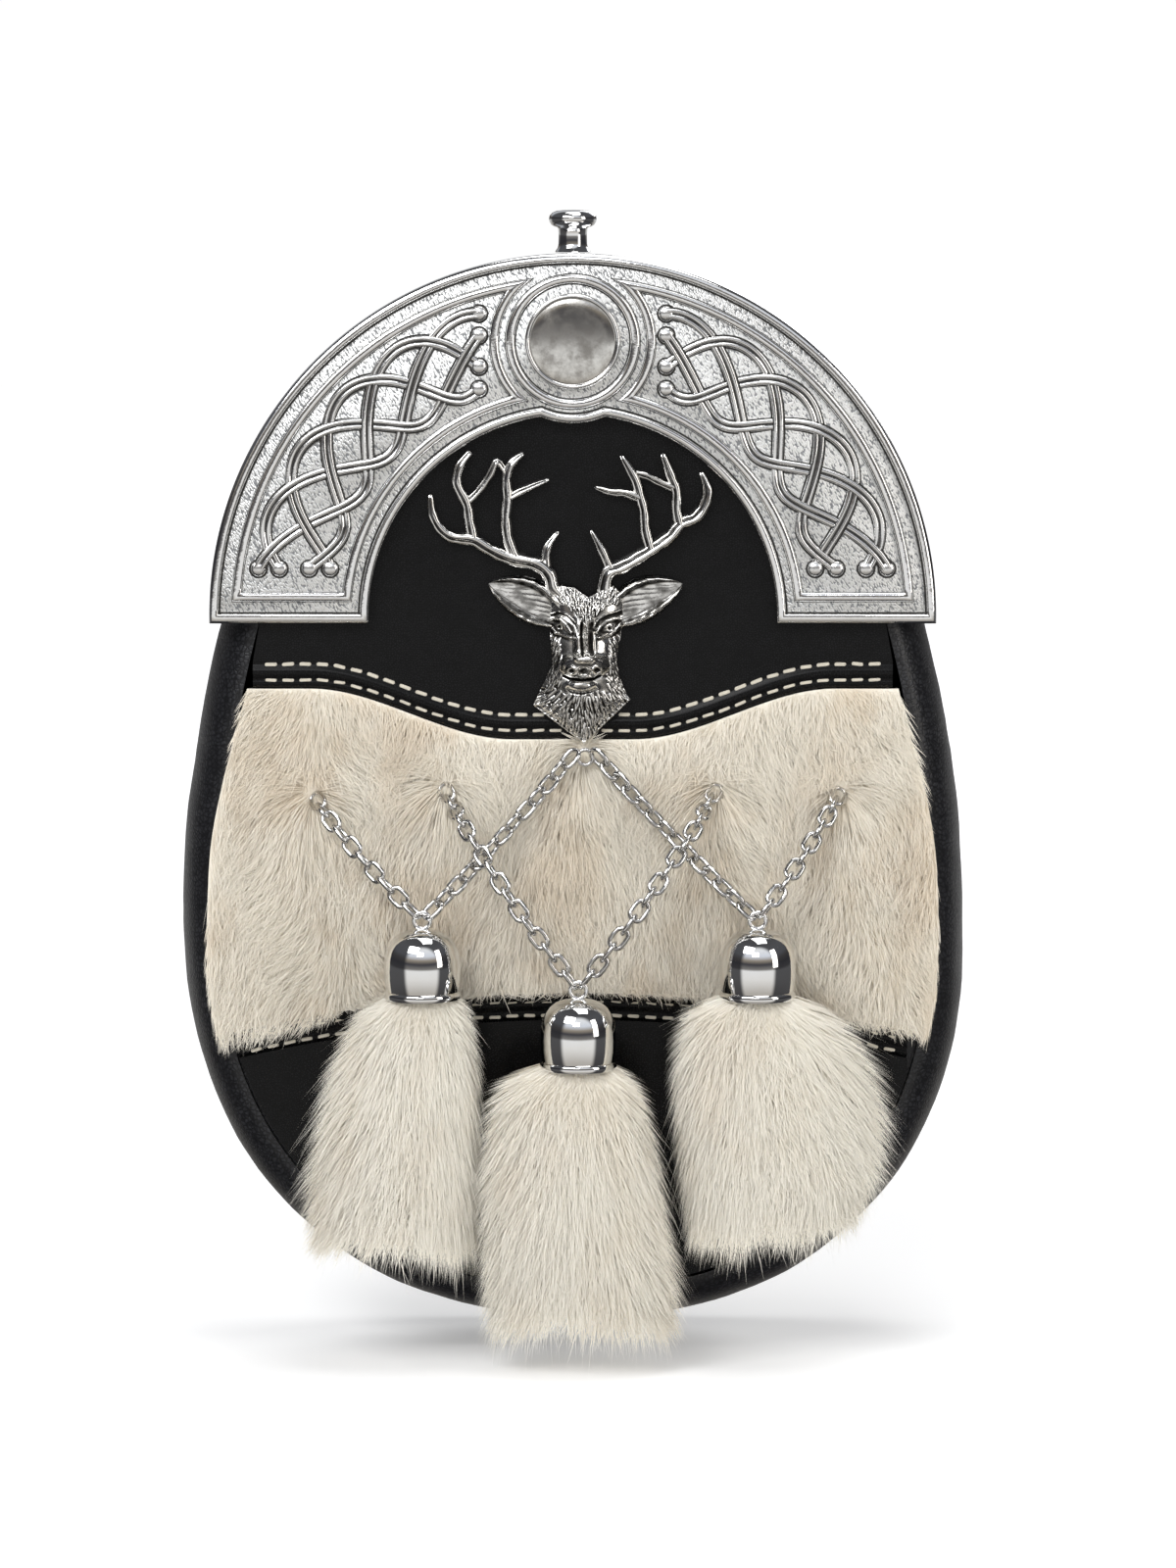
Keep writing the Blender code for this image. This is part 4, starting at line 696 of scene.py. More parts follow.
for side, name in ((-1, "belt_loop_left"), (1, "belt_loop_right")):
    piece(name + "_strap", strap(side), GRAINED, name, "grained_leather", sharp=60)
    tabs = []
    for level in (21.0, -21.0):
        low, top = sorted((level * MM - 2.3 * MM, level * MM + 2.3 * MM))
        corners = ((-7.5, low), (7.5, low), (7.5, top), (-7.5, top), (-7.5, low))
        box = [(side * LOOP_X + x * MM, z) for x, z in corners]
        tabs += stitched(box, lambda x, z: CLEAR + 2 * MM, 3.2 * MM, 2.3 * MM, 0.65 * MM, 11)
    piece(name + "_stitches", gather(tabs), BLACK_THREAD, name, "thread")

# %% [markdown]
# ## The glazed front
# Below the cantle a flap of glazed leather carries the badge, and its wavy lower edge is sewn down
# with two rows of cream thread. A plain panel closes the front below the fur, with the same two
# rows. The leather swells between the rows because each row pulls it down into a groove.

# %% The glazed front


def flap_edge(x):
    """Height of the flap's lower edge."""
    return ARCH_Z - FLAP_SIDE_DROP - FLAP_DIP * smooth((DIP_OUTER - abs(x)) / (DIP_OUTER - DIP_INNER))


def lower_edge(x):
    """Height of the lower panel's sewn upper edge."""
    return ARCH_Z - LOWER_MID_DROP - LOWER_FALL * (x / (WIDE_HALF - PANEL_INSET)) ** 2


def seam_x(across, edge):
    """The x of a seam's column, as a share of the pouch's least width along the seam's ends."""
    low = edge(WIDE_HALF - PANEL_INSET)
    return across * min(half_width(low, PANEL_INSET), half_width(low + WELT_WIDTH, PANEL_INSET))


def slab(columns, rows, place, front, back):
    """A closed panel: place(across, up) gives (x, z), up its front and down its back."""
    turns = 2 * rows + 2

    def point(u, v):
        row = round(v * turns) % turns
        up = row / rows if row <= rows else 1.0 - (row - rows - 1) / rows
        x, z = place(u * 2.0 - 1.0, up)
        return x, (front if row <= rows else back)(x, z, up), z

    return capped(shaped(columns, turns, point))


def front_place(across, up):
    """The pouch's own front wall, which meets the roll all round."""
    share = 0.5 - 0.5 * cos(pi * up)
    z = mix(BOTTOM_Z + ROLL_WIDTH, ARCH_Z + TOP_HALF - ROLL_WIDTH, share)
    return across * half_width(z, ROLL_WIDTH) + lean(z), z


def flap_place(across, up):
    """The front flap, from its seam to the curve under the cantle."""
    low_x = seam_x(across, flap_edge)
    angle = pi * 0.5 - across * radians(86.0)
    top = ((TOP_HALF - PANEL_INSET) * cos(angle), ARCH_Z + (TOP_HALF - PANEL_INSET) * sin(angle))
    return mix(low_x, top[0], up), mix(flap_edge(low_x) + WELT_WIDTH, top[1], up)


def puffed(up):
    """How far a sewn edge stands forward, from its lower lip over the puffed band to the panel."""
    return float(np.interp(up, [0.0, 0.08, 0.18, 0.30, 0.40, 0.55, 0.70, 0.84, 0.92, 1.0],
                           [1.2, 1.75, 1.85, 1.62, 1.95, 2.28, 2.2, 1.85, 1.66, 1.78])) * MM


def sewn_strip(edge, bulge):
    """A sewn edge of leather as a closed strip, with its grooves and its puffed band."""
    def place(across, up):
        x = seam_x(across, edge)
        return x, edge(x) + WELT_WIDTH * up

    return slab(120, 16, place, lambda x, z, up: FACING_BACK - puffed(up) - bulge(x, z),
                lambda x, z, up: FACING_BACK - bulge(x, z))


def flat(x, z):
    """No swelling."""
    return 0.0


def uneven(x, z, pitch, height, start):
    """The small unevenness of a stretched sheet of leather, with its height in mm."""
    return height * MM * noise.noise(Vector((x * pitch, z * pitch, start)))


def seam_path(edge, rise):
    """A row's path, rise above an edge, without the seam's last 2 mm."""
    half = seam_x(1.0, edge) - 2 * MM
    return [(x, edge(x) + rise) for x in np.linspace(-half, half, 260)]


def seam_row(edge, bulge, rise, stand, length, thick, seed):
    """A row of stitches along a sewn strip, sized in mm, at its rise above the strip's edge."""
    path = seam_path(edge, rise * MM)
    return stitched(path, lambda x, z: FACING_BACK - stand * MM - bulge(x, z), 3.6 * MM, length * MM,
                    thick * MM, seed)


def welt_low(x):
    """Height of the lower welt's lower edge."""
    return lower_edge(x) - WELT_WIDTH


def lower_place(across, up):
    """The lower panel, from the pouch's rounded bottom up to its seam."""
    side = copysign(1.0, across)
    ends = []
    for share in (side, across):
        angle = radians(90.0 - share * 62.0)
        x = seam_x(share, welt_low)
        ends.append((bowl_point(angle, PANEL_INSET), (x, welt_low(x) - CLEAR)))
    (side_low, side_top), (low, top) = ends
    side_z = mix(side_low[1], side_top[1], up)
    edge = side * half_width(side_z, PANEL_INSET) + lean(side_z)
    bow = (edge - mix(side_low[0], side_top[0], up)) * smooth((1.0 - up) * 4.0)
    return mix(low[0], top[0], up) + bow * abs(across) ** 6, mix(low[1], top[1], up)


panel = slab(30, 36, front_place, lambda x, z, up: PANEL_FRONT - crown(x, z),
             lambda x, z, up: PANEL_FRONT + PANEL_WALL - crown(x, z))
piece("front_wall", panel, GRAINED, "front_panel", "grained_leather")
panel = slab(100, 16, flap_place, lambda x, z, up: FACING_FRONT + uneven(x, z, 60, 0.12, 0.0),
             lambda x, z, up: FACING_BACK)
piece("front_flap_leather", panel, GLAZED, "front_flap", "glazed_leather")
piece("flap_welt_leather", sewn_strip(flap_edge, flat), GLAZED, "flap_welt", "glazed_leather", sharp=60)
piece("lower_welt_leather", sewn_strip(welt_low, crown), GLAZED, "lower_welt", "glazed_leather", sharp=60)
panel = slab(100, 28, lower_place,
             lambda x, z, up: FACING_FRONT - crown(x, z) + uneven(x, z, 70, 0.15, 4.0),
             lambda x, z, up: FACING_BACK - crown(x, z))
piece("lower_panel_leather", panel, GLAZED, "lower_panel", "glazed_leather")
rows = seam_row(flap_edge, flat, 4.95, 1.78, 2.6, 0.85, 21)
rows += seam_row(flap_edge, flat, 1.62, 1.72, 2.5, 0.75, 22)
piece("flap_stitches", gather(rows), THREAD, "flap_welt", "thread")
rows = seam_row(welt_low, crown, 3.6, 1.95, 2.5, 0.8, 23)
rows += seam_row(welt_low, crown, 0.75, 1.85, 2.5, 0.75, 24)
piece("lower_stitches", gather(rows), THREAD, "lower_welt", "thread")

# %% [markdown]
# ## The cantle
# The cantle is cast in one piece and silver plated: a flat arch with a wall behind it that grips
# the pouch's top. The raised work is built on the plate as separate bars, as a modeller would lay
# them on before casting. A polished rim runs round it, a fine line frames each field, and
# between them the ground is cut with strokes so that the bright lines stand out.

# %% The cantle's plate


def arc(radius, start, end, count, middle=0.0):
    """Points (x, z) of an arc between two angles; middle is the height of its centre."""
    return [(radius * cos(a), middle + radius * sin(a)) for a in np.linspace(start, end, count)]


def cantle_loop(inset, arch=150, inner_steps=44, boss_steps=24):
    """The plate's outline moved in by inset, as a ring of (x, z)."""
    outer, inner, boss = CANTLE_RADIUS - inset, INNER_RADIUS + inset, BOSS_RADIUS - inset
    base = -CANTLE_LEG + inset
    start = asin(base / outer)
    points = arc(outer, start, pi - start, arch + 1)
    meet = (inner ** 2 - boss ** 2 + BOSS_HEIGHT ** 2) / (2.0 * BOSS_HEIGHT)
    join, low = asin(min(1.0, meet / inner)), asin(base / inner)
    points += arc(inner, pi - low, pi - join, inner_steps + 1)
    spread = atan2(inner * cos(join), BOSS_HEIGHT - meet)
    turns = np.linspace(-spread, spread, boss_steps + 1)[1:-1]
    points += [(boss * sin(a), BOSS_HEIGHT - boss * cos(a)) for a in turns]
    points += arc(inner, join, low, inner_steps + 1)
    return [(float(x), float(z) + ARCH_Z) for x, z in points]


def round_loops(rings, closed=False):
    """A mesh through rings of (loop, y); the last joins the first when closed, or both are filled."""
    rings = rings + rings[:1] if closed else rings
    count = len(rings[0][0])

    def place(u, v):
        loop, y = rings[round(v * (len(rings) - 1))]
        x, z = loop[round(u * count) % count]
        return x, y, z

    return capped(shaped(count, len(rings) - 1, place))


def swept(section, closed=False):
    """A mesh that follows the cantle's outline, from (inset, y) pairs in mm."""
    return round_loops([(cantle_loop(inset * MM), y * MM) for inset, y in section], closed)


def cast(name, bm, material, **more):
    """Hands over a piece of the cantle."""
    piece(name, bm, material, "cantle", "antiqued_cast", **more)


cast("cantle_ground", swept([(0.6, -35.6), (0.3, -35.9), (0.3, -37.2), (2.0, -37.25), (2.25, -37.4)]), GROUND,
     worn=1)
rim_section = [(0.35, -35.7), (0.0, -36.1), (0.0, -37.3), (0.10, -37.75), (0.30, -38.1), (0.6, -38.33),
               (1.0, -38.46), (1.4, -38.5), (1.72, -38.42), (1.93, -38.2), (2.06, -37.85), (2.12, -37.3),
               (1.2, -37.0), (0.6, -36.4)]
cast("cantle_rim", swept(rim_section, closed=True), POLISHED, sharp=50, worn=1)
groove = swept([(2.0, -37.2), (2.0, -37.46), (2.42, -37.46), (2.42, -37.2)], closed=True)
cast("cantle_rim_groove", groove, FILM)

shroud_section = [(76.05, -36.0), (76.05, -16.1), (75.9, -15.7), (75.5, -15.6), (75.15, -15.7), (75.0, -16.1),
                  (75.0, -36.0)]


def shroud_place(u, v):
    """The wall behind the plate, over the pouch's top."""
    radius, y = shroud_section[round(v * 7) % 7]
    angle = pi * u
    return radius * MM * cos(angle), y * MM, ARCH_Z + radius * MM * sin(angle)


cast("cantle_shroud", capped(shaped(150, 7, shroud_place)), POLISHED, sharp=50, worn=1)

# %% [markdown]
# Each field is framed by a raised line with a thin dark edge on both sides. Where the outer and
# the inner arc meet the circle round the boss, the line runs out into a sharp point.

# %% The field lines and the boss


FIELD_OUTER, FIELD_INNER = CANTLE_RADIUS - 5.7 * MM, INNER_RADIUS + 4.9 * MM
FIELD_BOSS, FIELD_BASE = 16.4 * MM, -CANTLE_LEG + 5.6 * MM


def field_loop(side, grow):
    """The line round one field, as a ring of (x, z); grow moves it outwards."""
    outer, inner, boss, base = FIELD_OUTER + grow, FIELD_INNER - grow, FIELD_BOSS - grow, FIELD_BASE - grow

    def meets(radius):
        return asin(min(1.0, (radius ** 2 - boss ** 2 + BOSS_HEIGHT ** 2) / (2.0 * BOSS_HEIGHT) / radius))

    points = arc(outer, asin(base / outer), meets(outer), 61)
    ends = [atan2(r * sin(meets(r)) - BOSS_HEIGHT, r * cos(meets(r))) for r in (outer, inner)]
    points += arc(boss, *ends, 22, BOSS_HEIGHT)[1:-1]
    points += arc(inner, meets(inner), asin(base / inner), 41)
    radii = [mix(inner, outer, share) for share in np.linspace(0, 1, 14)[1:-1]]
    points += [(radius * cos(asin(base / radius)), base) for radius in radii]
    return [(side * float(x), float(z) + ARCH_Z) for x, z in points]


def circle(radius, steps=96):
    """A ring of (x, z) round the boss."""
    return [(radius * cos(tau * i / steps), ARCH_Z + BOSS_HEIGHT + radius * sin(tau * i / steps))
            for i in range(steps)]


def raised(loop_at, width, top, steps=12):
    """A round-backed line along loop_at(offset), with its width and its height over the plate in mm."""
    rings, base = [], PLATE_FRONT + 0.3 * MM
    for i in range(steps + 1):
        angle = pi * i / steps
        rise = sin(angle) ** 0.42
        rings.append((loop_at(width * MM * 0.5 * cos(angle)), mix(base, PLATE_FRONT - top * MM, rise)))
    return round_loops(rings, closed=True)


lines, edges = [], []
for side in (-1, 1):
    lines.append(raised(lambda off: field_loop(side, off), 1.95, 0.85))
    edges.append(raised(lambda off: field_loop(side, off), 2.75, 0.07))
lines.append(raised(lambda off: circle(13.05 * MM + off), 2.0, 0.85))
edges.append(raised(lambda off: circle(13.0 * MM + off), 3.1, 0.07))
cast("cantle_lines", gather(lines), POLISHED, worn=1)
cast("cantle_line_edges", gather(edges), FILM)


boss_middle = (0.0, PLATE_FRONT, ARCH_Z + BOSS_HEIGHT)
disc = turned([(0.0, 0.66), (2.5, 0.635), (5.0, 0.56), (7.0, 0.465), (8.6, 0.36), (9.0, 0.22), (9.1, -0.3),
               (0.0, -0.3)], 96)
cast("boss_mirror", put(disc, boss_middle, "X", 90.0), TARNISHED)
lip = turned([(8.9, -0.3), (8.9, 0.55), (9.1, 0.86), (9.45, 0.98), (9.8, 0.84), (10.05, 0.4), (10.2, -0.3),
              (8.9, -0.3)], 96)
cast("boss_lip", put(lip, boss_middle, "X", 90.0), POLISHED, sharp=50, worn=1)

# %% [markdown]
# The ornament in each field is a traditional plait of four strands. Every strand is a flat
# ribbon with two ridges and a groove between them. It swings from side to side round the arch,
# and it rises where it passes over another strand and dips where it passes under. A small domed
# pearl closes each of its ends.

# %% The plait


def strand_point(side, strand, share):
    """The middle of a strand as (x, z), and its weave from -1, under, to 1, over."""
    phase = radians(22.5 + 90.0 * (5 * share + strand))
    radius = PLAIT_RADIUS + PLAIT_REACH * cos(phase)
    angle = mix(asin(PLAIT_START / radius), acos(PLAIT_END / radius), share)
    return (side * radius * cos(angle), radius * sin(angle) + ARCH_Z), sin(3.0 * phase)


RIDGES = ([-1.0, -0.9, -0.74, -0.5, -0.26, -0.12, 0.0, 0.12, 0.26, 0.5, 0.74, 0.9, 1.0],
          [0.0, 0.62, 0.92, 1.0, 0.92, 0.66, 0.5, 0.66, 0.92, 1.0, 0.92, 0.62, 0.0])


def ribbon(side, strand, width, rise, profile, around=8):
    """One strand as a bar that weaves over and under."""
    steps = 110
    path = [strand_point(side, strand, i / steps)[0] for i in range(steps + 1)]

    def section(share, v):
        if v > 0.8:
            return mix(-0.5, 0.5, (v - 0.8) * 5.0) * width, PLATE_FRONT + 0.4 * MM
        across = 1.0 - v / 0.8 * 2.0
        crest = rise + 0.20 * MM * strand_point(side, strand, share)[1]
        up = float(np.interp(across, *profile))
        return across * width * 0.5, PLATE_FRONT + 0.1 * MM - (0.1 * MM + crest) * up

    return bar(path, section, around)


strands, beds, grooves, pearls = [], [], [], []
for side in (-1, 1):
    for strand in range(4):
        strands.append(ribbon(side, strand, 2.5 * MM, 0.58 * MM, RIDGES, 25))
        beds.append(ribbon(side, strand, 3.25 * MM, 0.22 * MM, ([-1.0, -0.9, 0.9, 1.0], [0.0, 1.0, 1.0, 0.0])))
        grooves.append(ribbon(side, strand, 0.42 * MM, 0.38 * MM,
                              ([-1.0, -0.8, 0.8, 1.0], [0.9, 1.0, 1.0, 0.9])))
        for share in (0.0, 1.0):
            x, z = strand_point(side, strand, share)[0]
            for balls, radius, flat_by, columns, rows in ((pearls, 1.7, 0.5, 20, 12),
                                                          (beds, 2.05, 0.22, 24, 8)):
                ball = bmesh.new()
                bmesh.ops.create_uvsphere(ball, u_segments=columns, v_segments=rows, radius=radius * MM)
                balls.append(put(ball, (x, PLATE_FRONT + 0.05 * MM, z), size=(1.0, flat_by, 1.0)))
cast("plait_strands", gather(strands), CAST, sharp=60, worn=1)
cast("plait_beds", gather(beds + grooves), FILM)
cast("plait_pearls", gather(pearls), SATIN)

# %% [markdown]
# ## Knob, caps and chains
# The knob and the three bell caps are turned and polished, so each is a profile spun round an
# upright axis. The chains are real oval links, each one turned a quarter against the next and
# hooked through it. They lie on the fur, and the middle cap's strands cross over the others.

# %% The knob and the caps
knob = turned([(0.0, 8.85), (2.0, 8.82), (3.4, 8.68), (4.3, 8.3), (4.85, 7.7), (5.0, 7.1), (4.9, 6.4),
               (4.5, 5.75), (3.9, 5.4), (3.3, 5.25), (3.05, 4.9), (2.95, 3.6), (3.0, 1.8), (3.15, 1.0),
               (3.5, 0.5), (3.7, 0.15), (3.6, 0.0), (0.0, 0.0)], 64)
put(knob, (0.0, PLATE_BACK + SHROUD_DEPTH * 0.5, ARCH_Z + CANTLE_RADIUS - SHROUD_STEP + CLEAR))
piece("knob_turned", knob, PLATED, "knob", "bright_plate", sharp=50, worn=2)

CAPS = {"left": Vector((-31.2, -54.2, -111.8)) * MM, "middle": Vector((1.2, -58.5, -125.8)) * MM,
        "right": Vector((38.4, -54.2, -111.8)) * MM}
bell = [(0.0, 14.5), (1.6, 14.48), (3.2, 14.25), (4.7, 13.7), (5.9, 12.8), (6.8, 11.6), (7.45, 10.1),
        (7.8, 8.4), (7.95, 6.4), (7.9, 4.0), (7.72, 2.2), (7.62, 1.62), (7.85, 1.42), (8.0, 1.1), (8.0, 0.35),
        (7.9, 0.05), (7.6, 0.0), (7.15, 0.15), (7.0, 3.0), (7.0, 7.5), (6.2, 11.0), (3.8, 13.1), (0.0, 13.4)]


def ring_bar(middle, major, minor, around=24, sides=10):
    """A round ring that stands upright and faces the front."""
    def place(u, v):
        turn, wire = tau * (u % 1.0), tau * (v % 1.0)
        radius = major + minor * cos(wire)
        return middle[0] + radius * cos(turn), middle[1] + minor * sin(wire), middle[2] + radius * sin(turn)

    return shaped(around, sides, place)


for name, seat in CAPS.items():
    cap = put(turned(bell, 64), seat)
    eye = ring_bar((seat.x, seat.y, seat.z + CAP_HEIGHT + EYE_RADIUS), EYE_RADIUS, 0.5 * MM)
    piece(f"bell_cap_{name}", gather([cap, eye]), PLATED, f"tassel_cap_{name}", "bright_plate", sharp=50,
          worn=2)

# %% The chains
ROOTS = {"outer_left": (-54.5, -71.4), "mid_left": (-27.3, -69.5), "centre": (2.5, -62.0),
         "mid_right": (30.5, -69.5), "outer_right": (56.4, -70.2)}
CHAINS = {"chain_left_outer": ("outer_left", "left", -1, 0), "chain_left_inner": ("centre", "left", 1, 0),
          "chain_middle_left": ("mid_left", "middle", -1, 1),
          "chain_middle_right": ("mid_right", "middle", 1, 1),
          "chain_right_inner": ("centre", "right", -1, 0), "chain_right_outer": ("outer_right", "right", 1, 0)}


def fur_front(x, z):
    """How far forward the fur panel's pile stands at a place, with dimples where the chains go in."""
    top, low = flap_edge(x), lower_edge(x)
    share = clamp((top - z) / (top - low))
    puff = smooth(share / 0.22) * (0.86 + 0.14 * cos((share - 0.75) * 2.6))
    puff *= 1.0 - 0.45 * smooth((abs(x) / max(half_width(z, PANEL_INSET), MM) - 0.82) / 0.3)
    depth = 1.4 * MM + 7.5 * MM * (0.30 + 0.70 * puff)
    for root_x, root_z in ROOTS.values():
        depth -= 2.5 * MM * exp(-(hypot(x - root_x * MM, z - root_z * MM) / (9 * MM)) ** 2) * puff
    return FACING_BACK - crown(x, z) - depth


def drape(x, z):
    """The middle of a chain: on the fur above, then out to the caps below."""
    start, low = ROOTS["outer_left"][1] * MM, CAPS["left"].z + CAP_HEIGHT
    return mix(fur_front(x, z) - 1.7 * MM - CLEAR, CAPS["left"].y, smooth((start - z) / (start - low)))


def strand_route(name):
    """Points along a chain, from its root in the fur to its cap's eye."""
    root, cap, side, on_top = CHAINS[name]
    start = Vector(ROOTS[root]) * MM
    if root == "centre":
        start.x -= side * 2.0 * MM
    seat = CAPS[cap]
    eye = Vector((seat.x, seat.z + CAP_HEIGHT + EYE_RADIUS))
    end = eye + (start - eye).normalized() * 1.1 * MM
    points = []
    for i in range(41):
        here = start.lerp(end, i / 40)
        sag = 0.8 * MM * sin(pi * i / 40)
        lift = 4.3 * MM * on_top * smooth(i / 40 / 0.22)
        if root != "centre":
            lift -= 5.0 * MM * (1.0 - smooth(i / 40 / 0.17))
        points.append(Vector((here.x, drape(here.x, here.y) - lift, here.y - sag)))
    return points


def link(middle, along, face, length=5.6 * MM, width=4.0 * MM, wire=0.52 * MM):
    """One oval link of round wire: along is its long way and face the way it looks."""
    side = along.cross(face).normalized()
    straight = (length - width) * 0.5

    def place(u, v):
        turn, round_wire = tau * (u % 1.0), tau * (v % 1.0)
        out = side * cos(turn) + along * sin(turn)
        bow = out * (width * 0.5 - wire)
        centre = bow + along * copysign(straight, sin(turn)) * min(1.0, abs(sin(turn)) * 6.0)
        return middle + centre + (out * cos(round_wire) + face * sin(round_wire)) * wire

    return shaped(20, 8, place)


LINK_PITCH = 3.6 * MM
STAPLE = (2.6 * MM, -63.0 * MM)
for name, (root, cap, side, on_top) in CHAINS.items():
    route = strand_route(name)
    lengths = marks(route)
    count = max(2, round(lengths[-1] / LINK_PITCH))
    roll_by = radians({"centre": 42.0}.get(root, 8.0))
    links = []
    for i in range(count):
        at = (i + 0.45) * lengths[-1] / count
        near, far = (Vector(on_path(at + d, lengths, route)) for d in (-0.5 * MM, 0.5 * MM))
        along = (far - near).normalized()
        turn = roll_by + radians(90.0 * (i % 2)) + 0.12 * sin(i * 2.3)
        face = Matrix.Rotation(turn, 3, along) @ Vector((0, -1, 0))
        face = (face - along * face.dot(along)).normalized()
        links.append(link((near + far) * 0.5, along, face))
    if name == "chain_left_inner":
        links.append(ring_bar((STAPLE[0], fur_front(*STAPLE) - 1.3 * MM, STAPLE[1]), 1.6 * MM, 0.45 * MM))
    piece(name + "_links", gather(links), STEEL, name, "bright_plate", sharp=60)

# %% [markdown]
# ## The stag's head
# The badge is a cast stag's head, a common hunting badge. Such a badge is a relief: from the front
# every place has one height. So a fine sheet is cut to the head's outline and pressed forward by
# a map of heights. The big masses come first, then the ridge of the nose, lids, nostrils and
# mouth as drawn lines, and last the hair as rows of small overlapping tufts.

# %% The head's outline and heights
LEFT_SIDE = ([-60.2, -52.1, -48.6, -46.6, -43.8, -41.9, -37.9, -34.8, -31.2],
             [2.35, -8.3, -6.7, -5.7, -4.5, -4.3, -4.7, -4.9, -4.6])
RIGHT_SIDE = ([-60.2, -50.9, -48.6, -45.8, -43.0, -39.9, -37.5, -34.0, -30.2],
              [2.45, 12.0, 10.8, 9.7, 9.3, 9.5, 10.1, 10.6, 10.4])
BROW_LINE = ([0.0, 0.05, 0.14, 0.33, 0.52, 0.68, 0.88, 0.96, 1.0],
             [-31.0, -28.6, -27.0, -27.4, -29.4, -28.2, -27.0, -28.4, -30.4])
DEEP = ([-60.2, -58, -55, -52, -49.6, -48, -46.5, -44, -41, -38, -35, -31, -27],
        [1.4, 2.1, 2.9, 3.5, 4.0, 4.6, 5.1, 5.6, 5.4, 4.9, 4.4, 3.8, 2.2])


def ease(values):
    """Eases many values from 0 to 1 at once."""
    values = np.clip(values, 0.0, 1.0)
    return values * values * (3.0 - 2.0 * values)


def dome(x, z, at, half, flat=1.0):
    """A rounded bump of height 1 with half widths in x and z; flat above 1 makes its top level."""
    return np.exp(-(((x - at[0]) / half[0]) ** 2 + ((z - at[1]) / half[1]) ** 2) ** flat)


def drawn(x, z, points, width):
    """A rounded line of height 1 through points."""
    near = np.full(x.shape, 1e9)
    for (ax, az), (bx, bz) in zip(points, points[1:]):
        run = (bx - ax) ** 2 + (bz - az) ** 2
        share = np.clip(((x - ax) * (bx - ax) + (z - az) * (bz - az)) / run, 0, 1)
        near = np.minimum(near, (x - ax - share * (bx - ax)) ** 2 + (z - az - share * (bz - az)) ** 2)
    return np.exp(-near / width ** 2)


def tufts(x, z, rows):
    """Overlapping tufts, each (x, z, heading, length, half width): highest at the tip, like shingles."""
    height = np.zeros(x.shape)
    for at_x, at_z, heading, length, half in rows:
        way_x, way_z = cos(radians(heading)), sin(radians(heading))
        along = ((x - at_x) * way_x + (z - at_z) * way_z) / length
        taper = np.maximum(1.0 - 0.85 * np.clip(along, 0, 1) ** 2.2, 0.05)
        across = ((z - at_z) * way_x - (x - at_x) * way_z) / (half * taper)
        inside = (along > 0) & (along < 1) & (np.abs(across) < 1)
        height = np.where(inside, np.maximum(height, (0.30 + 0.70 * along) * (1.0 - across ** 2) ** 0.8),
                          height)
    return height


def head_hair(chance):
    """Where each tuft grows: on the forehead, down the cheeks and over the ruff."""
    rows = []
    for z in np.arange(-26.6, -33.2, -0.72):
        for x in np.arange(-4.2, 10.6, 0.62):
            if z < -29.5 and abs(x - 3.0) > 5.4 + (z + 29.5) * 1.35:
                continue
            heading = -90 + (3.0 - x) * 7.5 * (0.4 + 0.6 * clamp((-27.0 - z) / 4.0))
            rows.append((x + chance.normal(0, 0.12), z + chance.normal(0, 0.15), heading + chance.normal(0, 6),
                         1.7, 0.34))
    for z in np.arange(-37.4, -47.5, -0.85):
        for x in np.concatenate([np.arange(-5.2, -2.6, 0.62), np.arange(7.9, 10.4, 0.62)]):
            rows.append((x + chance.normal(0, 0.12), z + chance.normal(0, 0.2), -90 + (x - 3.0) * 2.2
                         + chance.normal(0, 8), 1.8, 0.38))
    for z in np.arange(-45.2, -59.6, -0.95):
        for x in np.arange(-9.0, 12.6, 0.74):
            if z > -48.9 and -3.4 < x < 6.6:
                continue
            outward = (x - 2.2) * (5.6 if x > 2.2 else 9.5) * clamp((z + 60.0) / 9.0)
            rows.append((x + chance.normal(0, 0.18), z + chance.normal(0, 0.25),
                         -90 + outward + chance.normal(0, 9), 2.3, 0.44))
    return rows


